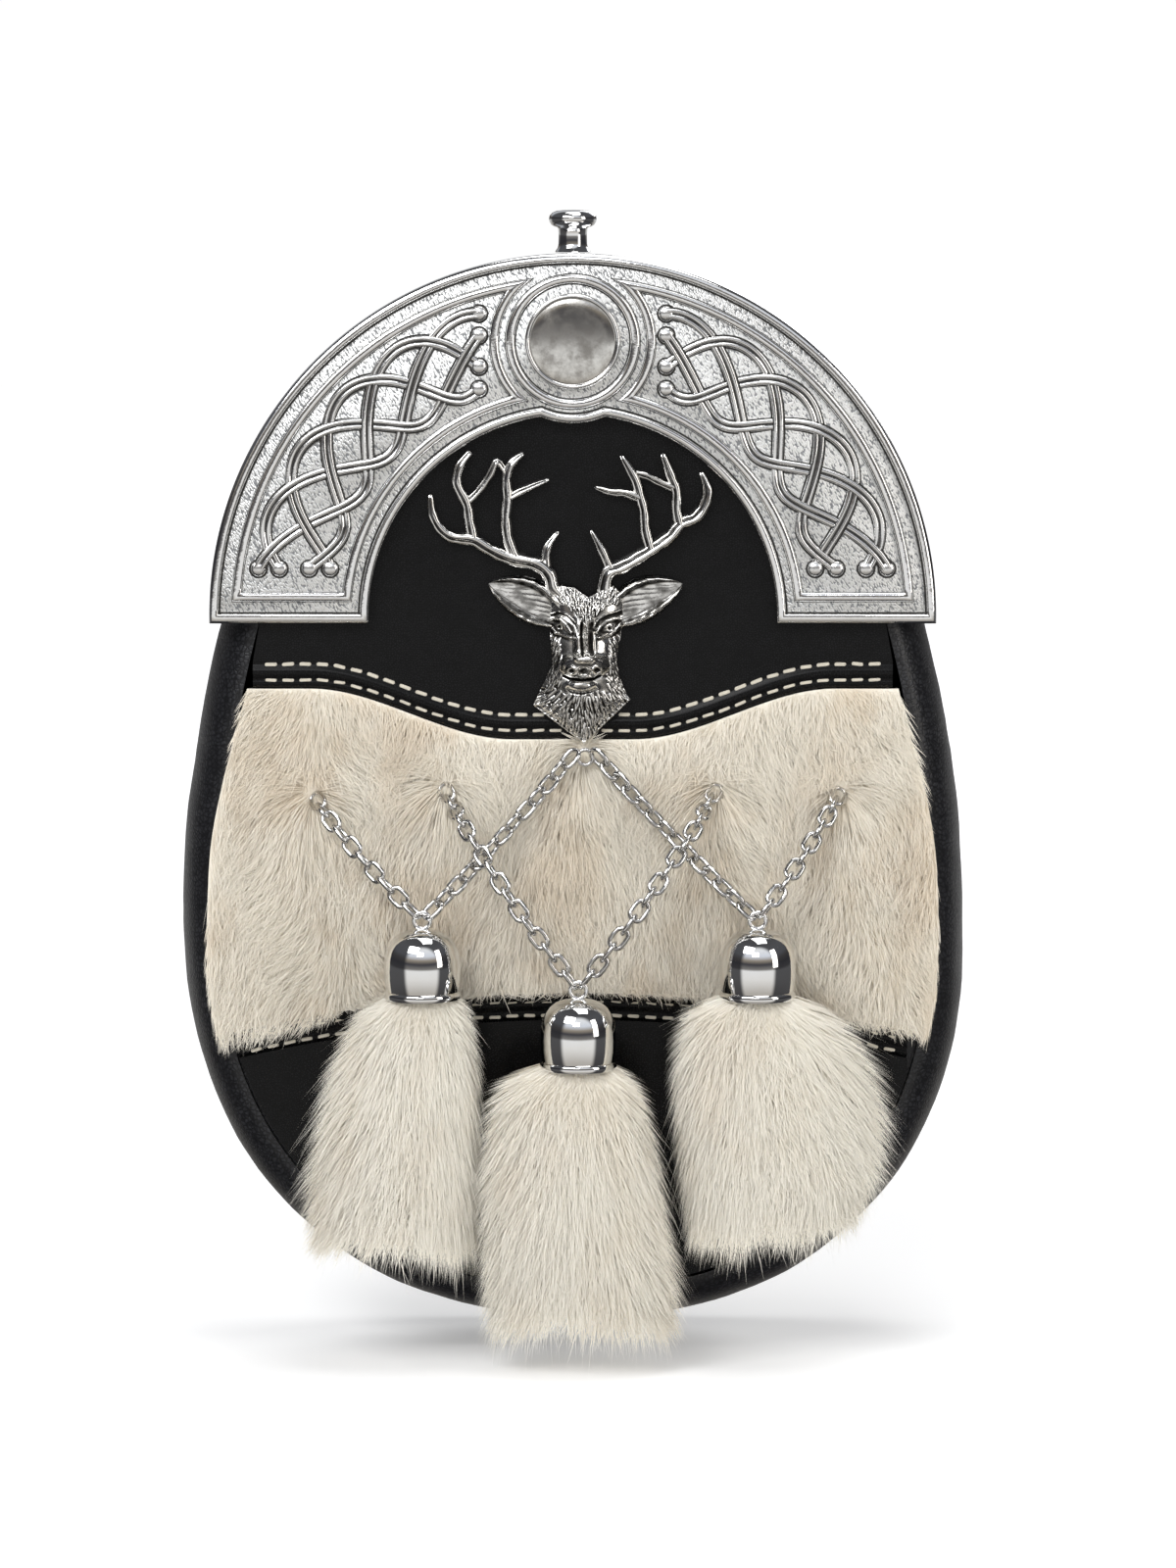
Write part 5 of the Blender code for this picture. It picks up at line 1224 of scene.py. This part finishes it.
def head_height(x, z, hair):
    """The head's height off its back in mm, at many places in mm."""
    left, right = np.interp(z, *LEFT_SIDE), np.interp(z, *RIGHT_SIDE)
    middle, half = (left + right) * 0.5, np.maximum((right - left) * 0.5, 0.05)
    side = np.clip(np.abs(x - middle) / half, 0, 1)
    height = np.interp(z, *DEEP) * (1.0 - 0.72 * side ** 2.3)
    nose = ease((-33.6 - z) / 1.6) * ease((z + 41.6) / 0.8)
    height += 0.9 * ease((2.7 - np.abs(x - 2.6)) / 1.3) * ease((-32.2 - z) / 3.0) * ease((z + 43.5) / 2.0)
    height += 1.15 * np.exp(-((x - 2.96) / 0.36) ** 2) * nose
    height -= 1.0 * np.exp(-((x - 2.05 - 0.25 * np.sin((z + 33.0) * 0.4)) / 0.3) ** 2) * nose
    height -= 1.5 * np.exp(-((x - 4.2 - 0.35 * np.sin((z + 33.0) * 0.35)) / 0.5) ** 2) * nose
    height -= 1.5 * dome(x, z, (-3.0, -36.0), (2.1, 1.8)) + 1.7 * dome(x, z, (7.7, -36.2), (2.4, 1.8))
    height += 1.25 * dome(x, z, (-2.9, -35.5), (1.4, 0.95)) + 1.25 * dome(x, z, (7.7, -35.75), (1.45, 0.9))
    pupils = 0.75 * dome(x, z, (-2.75, -35.55), (0.42, 0.42), 1.5)
    height -= pupils + 0.75 * dome(x, z, (7.7, -35.8), (0.42, 0.42), 1.5)
    for lid in ([(-4.6, -34.2), (-3.9, -33.75), (-2.7, -33.9), (-1.4, -34.9), (-0.4, -36.5)],
                [(-4.3, -35.9), (-3.4, -36.9), (-2.0, -37.2), (-0.5, -37.6)],
                [(10.6, -33.5), (8.9, -33.8), (7.0, -34.3), (5.8, -35.3), (5.1, -36.5)],
                [(9.9, -35.0), (9.0, -36.4), (7.6, -37.2), (5.6, -37.6)]):
        height += 1.05 * drawn(x, z, lid, 0.38)
    height -= 0.45 * drawn(x, z, [(-4.5, -33.2), (-3.0, -32.7), (-1.2, -33.3), (0.5, -34.8), (1.4, -37.0)], 0.3)
    height -= 0.6 * drawn(x, z, [(10.2, -32.6), (7.5, -33.2), (5.6, -34.1), (4.4, -36.0)], 0.32)
    pad = dome(x, z, (2.2, -43.4), (5.2, 2.3), 2.4)
    height += 1.6 * pad + 0.45 * dome(x, z, (1.9, -42.0), (4.2, 0.9))
    for at in ((-0.1, -44.5), (5.1, -44.3)):
        far = np.hypot(x - at[0], (z - at[1]) * 1.15)
        height += 0.5 * np.exp(-((far - 0.95) / 0.35) ** 2) - 0.55 * np.exp(-(far / 0.45) ** 2)
    height -= 1.2 * dome(x, z, (2.35, -44.6), (1.1, 0.75), 1.6)
    height -= 0.8 * drawn(x, z, [(-1.9, -45.7), (-0.6, -46.3), (1.8, -46.6), (4.4, -46.3), (5.8, -45.6)], 0.22)
    height += 1.6 * dome(x, z, (1.8, -47.9), (2.9, 1.3), 2.0)
    height -= 0.3 * drawn(x, z, [(-1.2, -48.4), (-0.3, -49.2), (1.8, -49.5), (3.9, -49.1), (4.8, -48.3)], 0.24)
    height += 0.62 * tufts(x, z, hair) * (1.0 - pad) * (1.0 - dome(x, z, (1.65, -47.6), (4.2, 2.0), 3.0))
    edge = np.exp(-((1.0 - side) * half / 0.5) ** 2) * ease((-49.5 - z) / 2.0)
    return np.maximum(height + 0.5 * edge, 0.7)


def head_place(u, v):
    """A place on the head's sheet in mm, from the brow down to the ruff's tip."""
    z = mix(float(np.interp(u, *BROW_LINE)), -60.2, v)
    return mix(float(np.interp(z, *LEFT_SIDE)), float(np.interp(z, *RIGHT_SIDE)), u), 0.0, z


head = shaped(150, 240, head_place)
flat_x, flat_z = np.array([(vert.co.x, vert.co.z) for vert in head.verts]).T
heights = head_height(flat_x, flat_z, head_hair(np.random.default_rng(8)))
for vert, rise in zip(head.verts, heights):
    vert.co = (vert.co.x * MM, BADGE_BACK - float(rise) * MM, vert.co.z * MM)
bmesh.ops.remove_doubles(head, verts=head.verts, dist=8e-6)
grown = bmesh.ops.extrude_edge_only(head, edges=[edge for edge in head.edges if edge.is_boundary])
for vert in grown["geom"]:
    if isinstance(vert, bmesh.types.BMVert):
        vert.co.y = BADGE_BACK
piece("stag_head", capped(head), STAG, "stag_badge", "antiqued_cast", sharp=75, worn=2)

# %% [markdown]
# Each antler is a main beam with tines that fork off it. A cast antler isn't round: it has a
# raised keel and a flat on each side, which catch the light as a bright and a dark band. Each ear
# is a leaf with a raised rim round a hollow with hair lines.

# %% Antlers and ears
TINES = [
    [(-.10, -.10, 1.0), (-.17, -.03, 1.1), (-.20, .08, 1.1), (-.29, .16, 1.05), (-.46, .20, 1.0),
     (-.60, .27, .95), (-.71, .34, .95), (-.85, .36, .85), (-.93, .42, .8), (-.985, .53, .7), (-1.0, .68, .35)],
    [(-.22, .13, .8), (-.21, .28, .7), (-.135, .40, .25)],
    [(-.43, .21, .9), (-.475, .34, .85), (-.49, .49, .8), (-.48, .66, .8), (-.485, .81, .75), (-.45, .91, .7),
     (-.37, .985, .35)],
    [(-.47, .65, .6), (-.37, .71, .6), (-.20, .79, .25)],
    [(-.71, .34, .9), (-.735, .48, .85), (-.755, .61, .8), (-.82, .76, .8), (-.80, .89, .75),
     (-.725, 1.0, .45)],
    [(-.75, .62, .6), (-.67, .71, .6), (-.60, .82, .6), (-.55, .92, .6), (-.485, .83, .45)],
    [(.17, -.06, 1.1), (.20, .09, 1.1), (.30, .14, 1.05), (.43, .22, 1.0), (.53, .29, .95), (.62, .36, .95),
     (.70, .46, .9), (.80, .51, .95), (.86, .61, .9), (.875, .72, .8), (.83, .85, .35)],
    [(.22, .11, .8), (.16, .26, .7), (.085, .41, .25)],
    [(.49, .26, .9), (.455, .41, .85), (.445, .55, .8), (.42, .66, .8), (.38, .80, .8), (.29, .97, .4)],
    [(.43, .64, .7), (.32, .69, .65), (.22, .70, .6), (.11, .735, .3)],
    [(.69, .44, .85), (.665, .56, .8), (.665, .70, .8), (.63, .81, .8), (.57, .985, .5)],
    [(.66, .72, .6), (.56, .765, .6), (.46, .82, .6), (.385, .84, .55)],
]
KEEL = ([0.0, 0.12, 0.25, 0.38, 0.5, 0.62, 0.75, 0.88, 1.0],
        [0.35, 0.72, 0.8, 0.62, 1.0, 1.12, 1.05, 0.7, 0.35])


def antler(knots, order):
    """One tine as a bar with a keel and a groove along it, through smoothed knots."""
    places = [Vector((1.2 * MM + x * 30.9 * MM, ARCH_Z + 7 * MM + z * 28 * MM)) for x, z, _ in knots]
    count = 8 * (len(knots) - 1)
    path, widths = [], []
    for i in range(count + 1):
        at = min(i / 8, len(knots) - 1.0001)
        k, t = int(at), at - int(at)
        p = [places[max(0, min(len(places) - 1, k + d))] for d in (-1, 0, 1, 2)]
        second = (2 * p[0] - 5 * p[1] + 4 * p[2] - p[3]) * t ** 2
        third = (3 * p[1] - p[0] - 3 * p[2] + p[3]) * t ** 3
        here = 0.5 * (2 * p[1] + (p[2] - p[0]) * t + second + third)
        path.append((here.x, here.y))
        widths.append(mix(knots[k][2], knots[k + 1][2], t) * 1.42 * MM * (1.0 if t < 0.9999 else 0.6))

    def section(share, v):
        half = widths[round(share * count)]
        knobby = 1.0 + 0.06 * sin(share * count * 0.9 + order)
        if v > 0.7:
            return mix(-1.0, 1.0, (v - 0.7) / 0.3) * half * 0.92 * knobby, BADGE_BACK
        around = v / 0.7
        up = float(np.interp(around, *KEEL))
        rise = (half * 1.25 + 0.02 * order * MM) * (0.25 + 0.75 * sin(pi * around) ** 0.7 * up)
        return cos(pi * around) * half * knobby, BADGE_BACK - (0.35 * MM + rise)

    return bar(path, section, 20)


def ear(side):
    """An ear as a pointed leaf: a raised scalloped rim round a hollow with hair lines."""
    root = Vector((BADGE_X + side * 6.0 * MM, -33.6 * MM))
    tip = Vector(((-17.6 if side < 0 else 23.0) * MM, -26.6 * MM))
    along = tip - root
    across_way = Vector((-along.y, along.x)).normalized() * side

    def place(u, v):
        if v > 0.75:
            across, low = mix(1.0, -1.0, (v - 0.75) * 4.0), True
        else:
            across, low = -1.0 + 2.0 * v / 0.75, False
        leaf = sin(pi * min(1.0, 0.13 + u * 0.87)) ** 0.7 * (1.0 - 0.12 * u)
        half = 4.9 * MM * leaf * (1.0 + 0.015 * sin(u * 44.0))
        bend = across_way * (across * half + 0.6 * MM * sin(pi * u))
        here = root + along * u + bend
        rim = exp(-((abs(across) - 0.80) / 0.14) ** 2)
        hairs = 0.035 * sin(across * 26.0 + u * 34.0) * (1.0 - rim) * smooth(across + 0.6)
        blade = (0.5 + 1.75 * rim + hairs * (1.0 - u)) * (1.0 - 0.45 * u)
        rise = 0.0 if low else blade * smooth((1.0 - abs(across)) * 9.0) + 0.25
        return here.x, BADGE_BACK - rise * MM, here.y

    return capped(shaped(72, 64, place))


piece("stag_antlers", gather([antler(knots, order) for order, knots in enumerate(TINES)]), STAG, "stag_badge",
      "antiqued_cast", sharp=42, worn=1)
piece("stag_ears", gather([ear(-1), ear(1)]), STAG, "stag_badge", "antiqued_cast", sharp=60, worn=1)

# %% [markdown]
# ## Fur
# Rabbit fur has two coats: a dense woolly undercoat, and longer, straighter guard hairs that
# stand over it. Both grow out of a skin in small clumps. Each lock of hair is a tapered ribbon
# here: two squares and a tip. Its root stands on a hidden skin, it leaves the skin steeply and
# bends down along it, and its tip leans to its clump's. Arrays hold them all, since there are tens
# of thousands.

# %% How a coat is made


def ripple(x, z, seed, size):
    """A smooth wandering value, about -1 to 1, with bumps of about size, at many places at once."""
    chance = np.random.default_rng(seed)
    total = np.zeros_like(x)
    for _ in range(7):
        heading, pitch, start = chance.uniform(0, tau), chance.uniform(0.6, 1.9), chance.uniform(0, tau)
        total += np.sin((x * cos(heading) + z * sin(heading)) * tau * pitch / (size * 2.2) + start)
    return total / 3.2


HAIR_SHARES = (0.0, 0.36, 0.72, 1.0)
CELL_MIX = np.array([[12.9898, 39.425], [78.233, 11.135]])


def scatter(cells, start=0.0):
    """Two shares from 0 to 1 for each cell, the same for every hair of one clump."""
    spread = np.sin(cells @ CELL_MIX + start) * 43758.5453
    return spread - np.floor(spread)


def tones(shares, chance):
    """Each hair's tone from 0 to 1, near its clump's."""
    return np.clip(0.5 + 0.14 * (shares - 0.5) * 2 + chance.normal(0, 0.09, len(shares)), 0, 1)


def coat(name, root, bend, tip, outward, width, tone, chance, node, material, slot):
    """Ribbons of hair from arrays of roots, bends and tips; outward is the way their faces look."""
    count = len(root)
    rows = [(1 - t) ** 2 * root + 2 * t * (1 - t) * bend + t * t * tip for t in HAIR_SHARES]
    points = np.empty((count, 7, 3))
    for k, (t, thick) in enumerate(zip(HAIR_SHARES, (0.75, 1.0, 0.62, 0.0))):
        along = 2 * (1 - t) * (bend - root) + 2 * t * (tip - bend)
        across = np.cross(along, outward)
        across /= np.maximum(np.linalg.norm(across, axis=1), 1e-9)[:, None]
        if k == 0:
            turn = chance.normal(0.0, 0.55, (count, 1))
        way = across * np.cos(turn) + outward * np.sin(turn)
        half = way * (width * thick * 0.5)[:, None]
        if k < 3:
            points[:, 2 * k], points[:, 2 * k + 1] = rows[k] - half, rows[k] + half
        else:
            points[:, 6] = rows[3]
    corners = np.array([0, 1, 3, 2, 2, 3, 5, 4, 4, 5, 6])
    each = np.arange(count)[:, None]
    mesh = bpy.data.meshes.new(name)
    mesh.vertices.add(count * 7)
    mesh.vertices.foreach_set("co", points.astype(np.float32).ravel())
    mesh.loops.add(count * 11)
    mesh.loops.foreach_set("vertex_index", (corners + 7 * each).astype(np.int32).ravel())
    mesh.polygons.add(count * 3)
    mesh.polygons.foreach_set("loop_start", (np.array([0, 4, 8]) + 11 * each).astype(np.int32).ravel())
    mesh.update(calc_edges=True)
    alongs = np.tile(np.repeat(HAIR_SHARES, 2)[:7], count)
    for label, values in (("strand", np.repeat(tone, 7)), ("along", alongs)):
        mesh.attributes.new(label, "FLOAT", "POINT").data.foreach_set("value", values.astype(np.float32))
    hand_over(name, mesh, material, node, slot)
    print(name, count, "ribbons,", count * 5, "triangles")


# %% [markdown]
# The panel's fur runs mostly down, with whorls, and parts round the places where the chains go
# in. At the lower edge it hangs over the seam.

# %% The fur panel


def pelt_place(across, up):
    """The fur's skin, from the lower seam to the flap, a little wider at its lower corners."""
    x = across * (WIDE_HALF - PANEL_INSET)
    z = mix(lower_edge(x) + CLEAR, flap_edge(x) - CLEAR, up)
    x = across * half_width(z, PANEL_INSET - 3 * MM * smooth((1.0 - up) * 2.0))
    return x, mix(lower_edge(x) + CLEAR, flap_edge(x) - CLEAR, up)


def skin_front(x, z, up=0.5):
    """The skin under the fur, well behind the pile's front."""
    base = FACING_BACK - crown(x, z)
    return base + (fur_front(x, z) - base) * 0.42


skin = slab(70, 24, pelt_place, skin_front, lambda x, z, up: FACING_BACK - crown(x, z) - 0.2 * MM)
piece("fur_panel_skin", skin, CREAM, "fur_panel", "cream_fur")


def panel_coat(name, count, seed, reach, width, height):
    """One coat of the panel: reach is the hair's length in mm and height its share of the pile."""
    chance = np.random.default_rng(seed)
    across, up = chance.uniform(-1, 1, count), chance.uniform(0.0, 1.0, count) ** 0.92
    ground = np.array([pelt_place(a, b) for a, b in zip(across, up)])
    x, z = ground.T
    cell = 2.2 * MM
    clump = np.floor(ground / cell + ripple(x, z, 3, 6 * MM)[:, None] * 0.3)
    jitter = scatter(clump)
    centre = (clump + jitter) * cell
    heading = -90 + 34 * ripple(x, z, 17, 17 * MM) + 12 * x / WIDE_HALF + chance.normal(0, 15, count)
    heading += 18 * (jitter[:, 0] - 0.5)
    way = np.stack([np.cos(np.radians(heading)), np.sin(np.radians(heading))], 1)
    for root_x, root_z in ROOTS.values():
        off = ground - np.array([root_x, root_z]) * MM
        far = np.linalg.norm(off, axis=1)
        way += 1.5 * off / np.maximum(far, MM)[:, None] * np.exp(-(far / (7.5 * MM)) ** 2)[:, None]
    way /= np.linalg.norm(way, axis=1)[:, None]
    long = chance.uniform(*reach, count) * MM * (0.72 + 0.28 * np.minimum(1.0, (1.0 - up) * 6.0))
    end = ground + way * long[:, None] * 0.86
    end += (centre - ground) * 0.36
    low = np.where(end[:, 0] < 0, 4.4, 1.2) * ease((np.abs(end[:, 0]) - 46 * MM) / (14 * MM))
    hang = lower_edge(end[:, 0]) - (low - 0.9 + 1.0 * jitter[:, 1] + chance.exponential(0.5, count)) * MM
    end[:, 1] = np.where(end[:, 1] < hang, hang + chance.exponential(0.8, count) * MM, end[:, 1])
    edge = np.array([half_width(b, PANEL_INSET) for b in end[:, 1]])
    edge = edge + 1.2 * MM + chance.uniform(-1.6, 0.6, count) * MM
    edge += 2.0 * MM * ease((-80 * MM - end[:, 1]) / (20 * MM)) * (end[:, 0] < 0)
    end[:, 0] = np.clip(end[:, 0], -edge, edge + 1.5 * MM)
    floor = np.array([skin_front(a, b) for a, b in zip(x, z)])
    front = np.array([fur_front(a, max(b, lower_edge(a) + 0.5 * MM)) for a, b in end])
    under = lower_edge(end[:, 0]) - end[:, 1]
    droop = 1.0 - 0.35 * np.clip(under / (7 * MM), 0, 1)
    stand = chance.uniform(*height, count) * droop + 0.10 * ripple(end[:, 0], end[:, 1], 29, 9 * MM)
    backing = np.array([FACING_BACK - crown(a, b) for a, b in end])
    depth = backing + (front - backing) * stand
    root = np.stack([x, floor, z], 1)
    tip = np.stack([end[:, 0], depth, end[:, 1]], 1)
    bend = root + (tip - root) * 0.34
    bend[:, 1] -= long * 0.20
    outward = np.tile([0.0, -1.0, 0.0], (count, 1))
    tone = tones(jitter[:, 1], chance)
    coat(name, root, bend, tip, outward, chance.uniform(*width, count) * MM, tone, chance, "fur_panel", CREAM,
         "cream_fur")


thin = 1.0
panel_coat("fur_panel_undercoat", int(30000 * thin), 41, (4.5, 7.5), (0.145, 0.235), (0.74, 0.98))
panel_coat("fur_panel_guard_hairs", int(27500 * thin), 42, (7.0, 11.0), (0.09, 0.155), (0.86, 1.07))

# %% [markdown]
# A tassel is fur bound at its head inside the bell cap. It spreads below the cap and ends in a
# ragged hem, with a few long stray hairs.

# %% The tassels
# how much shorter each tassel's hem is at its right, as a share of its length
RIGHT_HEMS = {"left": 0.0, "middle": 0.0, "right": 0.10}
SPREADS = {
    "left": (1.00, [(.02, .62, .50, .72), (.08, .80, .56, .82), (.20, .95, .60, .88), (.35, 1.08, .62, .95),
                    (.55, 1.20, .63, 1.0), (.75, 1.32, .62, 1.05), (.92, 1.26, .58, 1.0)]),
    "middle": (1.04, [(.02, .78, .58, .74), (.06, .94, .68, .84), (.14, 1.02, .78, .92), (.30, 1.07, .86, 1.02),
                      (.50, 1.09, .95, 1.10), (.72, 1.07, 1.05, 1.16), (.92, 1.0, 1.10, 1.10)]),
    "right": (0.96, [(.02, .72, .66, .74), (.07, .86, .88, .86), (.16, .93, 1.14, .96), (.30, .92, 1.36, 1.06),
                     (.52, .88, 1.48, 1.12), (.74, .82, 1.38, 1.08), (.92, .74, 1.02, .96)]),
}


def tassel_form(name, angle, drop, grow):
    """Points of a tassel's outer form, shrunk by grow, at many angles and drops at once."""
    hem, rows = SPREADS[name]
    seat, length = CAPS[name], TASSEL_LENGTH * hem
    rows = np.array([(-0.1, .34, .34, .34), (0.0, .42, .42, .66)] + rows
                    + [(1.06, rows[-1][1] * 0.93, rows[-1][2] * 0.93, rows[-1][3] * 0.88)])
    left, right, thick = (np.interp(drop, rows[:, 0], rows[:, k]) for k in (1, 2, 3))
    cosine = np.cos(angle)
    reach = np.where(cosine > 0, right, left) * TASSEL_HALF * grow
    return np.stack([seat.x + reach * cosine, seat.y + thick * TASSEL_THICK * grow * np.sin(angle),
                     seat.z - drop * length], -1)


def tassel_core(name):
    """The bound skin inside a tassel, closed at both ends."""
    drops = [-0.08, -0.02, 0.02, 0.06, 0.12, 0.2, 0.32, 0.45, 0.6, 0.74, 0.84, 0.88]
    grows = [0.55, 0.72, 0.78, 0.74, 0.72, 0.72, 0.72, 0.72, 0.72, 0.70, 0.62, 0.35]

    def place(u, v):
        row = round(v * 11)
        return Vector(tassel_form(name, np.float64(tau * (u % 1.0)), drops[row], grows[row]))

    return capped(shaped(48, 11, place))


def tassel_coat(name, label, count, seed, reach, width, grow):
    """One coat of a tassel: reach is the hair's length in mm, grow how far out its tips stand."""
    chance = np.random.default_rng(seed)
    length = TASSEL_LENGTH * SPREADS[name][0]
    angle = chance.uniform(0, tau, count)
    drop = chance.uniform(0.0, 1.0, count) ** 0.9 * 0.90 - 0.03
    cells = np.array([30.0, 16.0])
    clump = np.floor(np.stack([angle / tau, drop], 1) * cells + ripple(angle, drop * 3, 5, 1.2)[:, None] * 0.35)
    jitter = scatter(clump, seed)
    centre = (clump + 0.25 + 0.5 * jitter) / cells
    long = chance.uniform(*reach, count) * MM * (0.35 + 0.65 * ease(drop / 0.22))
    end_drop = drop + 0.93 * long / length + (centre[:, 1] - drop) * 0.35
    shorter = RIGHT_HEMS[name] * np.maximum(0.0, np.cos(angle)) ** 2
    uneven = 0.05 * ripple(np.cos(angle) * 3, np.sin(angle) * 3, seed, 2.0)
    limit = 0.985 - shorter + uneven + chance.exponential(0.03, count)
    end_drop = np.where(end_drop > limit, limit - chance.exponential(0.02, count), end_drop)
    end_angle = angle + (centre[:, 0] * tau - angle) * 0.42 + chance.normal(0, 0.11, count)
    end_angle += 0.12 * ripple(angle, drop * 4, 9, 1.5)
    root = tassel_form(name, angle, drop, 0.70)
    swell = chance.uniform(*grow, count) + 0.04 * ripple(end_angle * 2, end_drop * 6, 13, 1.6)
    tip = tassel_form(name, end_angle, end_drop, swell)
    outward = np.stack([np.cos(angle) / TASSEL_HALF, np.sin(angle) / (TASSEL_THICK * 1.3), np.zeros(count)], 1)
    outward /= np.linalg.norm(outward, axis=1)[:, None]
    bend = root + (tip - root) * 0.36 + outward * (long * 0.13)[:, None]
    tone = tones(jitter[:, 0], chance)
    coat(f"tassel_{name}_{label}", root, bend, tip, outward, chance.uniform(*width, count) * MM, tone, chance,
         f"tassel_{name}", WHITE, "tassel_fur")


TASSEL_COATS = (("undercoat", 11200, 60, (6.0, 10.0), (0.165, 0.26), (0.84, 1.0)),
                ("guard_hairs", 9200, 70, (9.0, 16.0), (0.09, 0.15), (0.93, 1.08)),
                ("stray_hairs", 420, 80, (13.0, 22.0), (0.07, 0.11), (1.02, 1.20)))
for order, name in enumerate(CAPS):
    piece(f"tassel_{name}_core", tassel_core(name), WHITE, f"tassel_{name}", "tassel_fur")
    for label, count, seed, reach, width, grow in TASSEL_COATS:
        tassel_coat(name, label, int(count * thin), seed + order, reach, width, grow)

# %% [markdown]
# ## Floor, light and camera
# The sporran stands on a wide white floor under a large soft light from the upper left, with
# weaker ones from the right, the front, above and behind. The floor is open all round, so the
# object can be looked at from every side. It glows more the farther out it is, and so runs into
# the white background without a line. Polished metal only looks like metal when it has something
# dark to mirror, so the surroundings have dark sides and a dark band above the horizon.

# %% Floor, light and camera
floor_z = CAD_BOX[0][2] - 0.5 * MM
white, tree, shader = finish("white_floor", {"Base Color": (0.90, 0.90, 0.90, 1), "Roughness": 0.8,
                                             "Emission Color": (1, 1, 1, 1)})
far = step(tree, "VectorMath", {0: step(tree, "TexCoord", {}, out="Object")}, out="Value", operation="LENGTH")
feed(tree, shader, {"Emission Strength": between(tree, far, 0.45, 1.7, 0.30, 1.0)})
low_z = floor_z - 0.02
disc = turned([(0.0, floor_z), (0.5, floor_z), (1.7, floor_z), (7.0, floor_z), (7.0, low_z), (0.0, low_z)], 96,
              1.0)
mesh = bpy.data.meshes.new("floor")
disc.to_mesh(mesh)
disc.free()
mesh.materials.append(white)
ground = bpy.data.objects.new("floor", mesh)
ground.visible_glossy = False
scene.collection.objects.link(ground)


def lamp(name, place, aim, size, watts, colour=(1.0, 1.0, 1.0)):
    """A rectangular soft light that points at a place."""
    data = bpy.data.lights.new(name, "AREA")
    data.shape, data.size, data.size_y = "RECTANGLE", size[0], size[1]
    data.energy, data.color = watts, colour
    made = bpy.data.objects.new(name, data)
    made.location = place
    made.rotation_euler = (Vector(aim) - Vector(place)).to_track_quat("-Z", "Y").to_euler()
    made.visible_camera = False
    scene.collection.objects.link(made)
    return made


AIM = Vector((3.2, -37.0, -68.8)) * MM
lamp("key", (-0.55, -0.85, 0.75), AIM, (0.7, 0.5), 8.0)
lamp("fill", (0.95, -0.70, 0.30), AIM, (0.35, 0.8), 3.0, (1.0, 0.96, 0.91))
lamp("front", (-0.15, -1.3, 0.6), AIM, (0.5, 0.3), 1.8)
lamp("top", (0.1, 0.0, 1.0), AIM, (0.9, 0.5), 6.0)
lamp("back", (0.45, 1.1, 0.55), AIM, (0.7, 0.5), 5.0)
world = bpy.data.worlds.new("studio")
world.use_nodes = True
sky = world.node_tree
height, depth = (step(sky, "SeparateXYZ", {0: step(sky, "TexCoord", {}, out="Generated")}, out=way)
                 for way in "ZY")
ramp = sky.nodes.new("ShaderNodeValToRGB")
for place, colour in ((0.30, (0.55, 0.52, 0.48)), (0.41, (0.90, 0.89, 0.87)), (0.475, (0.95, 0.95, 0.95)),
                      (0.495, (0.25, 0.24, 0.23)), (0.55, (0.06, 0.06, 0.07)), (0.62, (0.34, 0.30, 0.25)),
                      (0.70, (0.80, 0.84, 0.92)), (0.85, (0.95, 0.97, 1.0))):
    stop = ramp.color_ramp.elements.new(place)
    stop.color = (*colour, 1.0)
for edge, shade in ((ramp.color_ramp.elements[0], 0.12), (ramp.color_ramp.elements[-1], 0.7)):
    edge.color = (shade, shade, shade, 1.0)
shade = maths(sky, "CLAMP_SUBTRACT", between(sky, depth, -0.72, -0.52, 0.0, 0.93),
              between(sky, depth, 0.45, 0.8, 0.0, 0.6))
feed(sky, ramp.inputs, {"Fac": maths(sky, "ADD", maths(sky, "MULTIPLY", height, 0.5), 0.5)})
room = tint(sky, shade, ramp.outputs["Color"], (0.03, 0.03, 0.035, 1))
seen = step(sky, "LightPath", {}, out="Is Camera Ray")
feed(sky, sky.nodes["Background"].inputs, {"Color": tint(sky, seen, room, (1.12, 1.12, 1.12, 1)),
                                           "Strength": 0.9})
scene.world = world
scene.view_settings.view_transform = "Standard"

camera = bpy.data.objects.new("camera", bpy.data.cameras.new("camera"))
scene.collection.objects.link(camera)
tilt, away = radians(6.0), 1.1
camera.location = AIM + Vector((0.0, -cos(tilt), sin(tilt))) * away
camera.rotation_euler = (radians(90.0) - tilt, 0.0, 0.0)
SENSOR, VIEW_HEIGHT = 36.0, 0.3296
camera.data.sensor_fit, camera.data.sensor_height = "VERTICAL", SENSOR
camera.data.lens = SENSOR * away / VIEW_HEIGHT
camera.data.clip_start, camera.data.clip_end = 0.05, 20.0
scene.camera = camera

# %% [markdown]
# ## The CAD part's bounds
# The finer pieces are meant to stay where the CAD part put them. The CAD part's own bounds in mm, taken
# before they were made, are printed at the end.

# %% The CAD part's bounds
print("CAD box mm", [[round(v * 1000, 1) for v in c] for c in CAD_BOX])
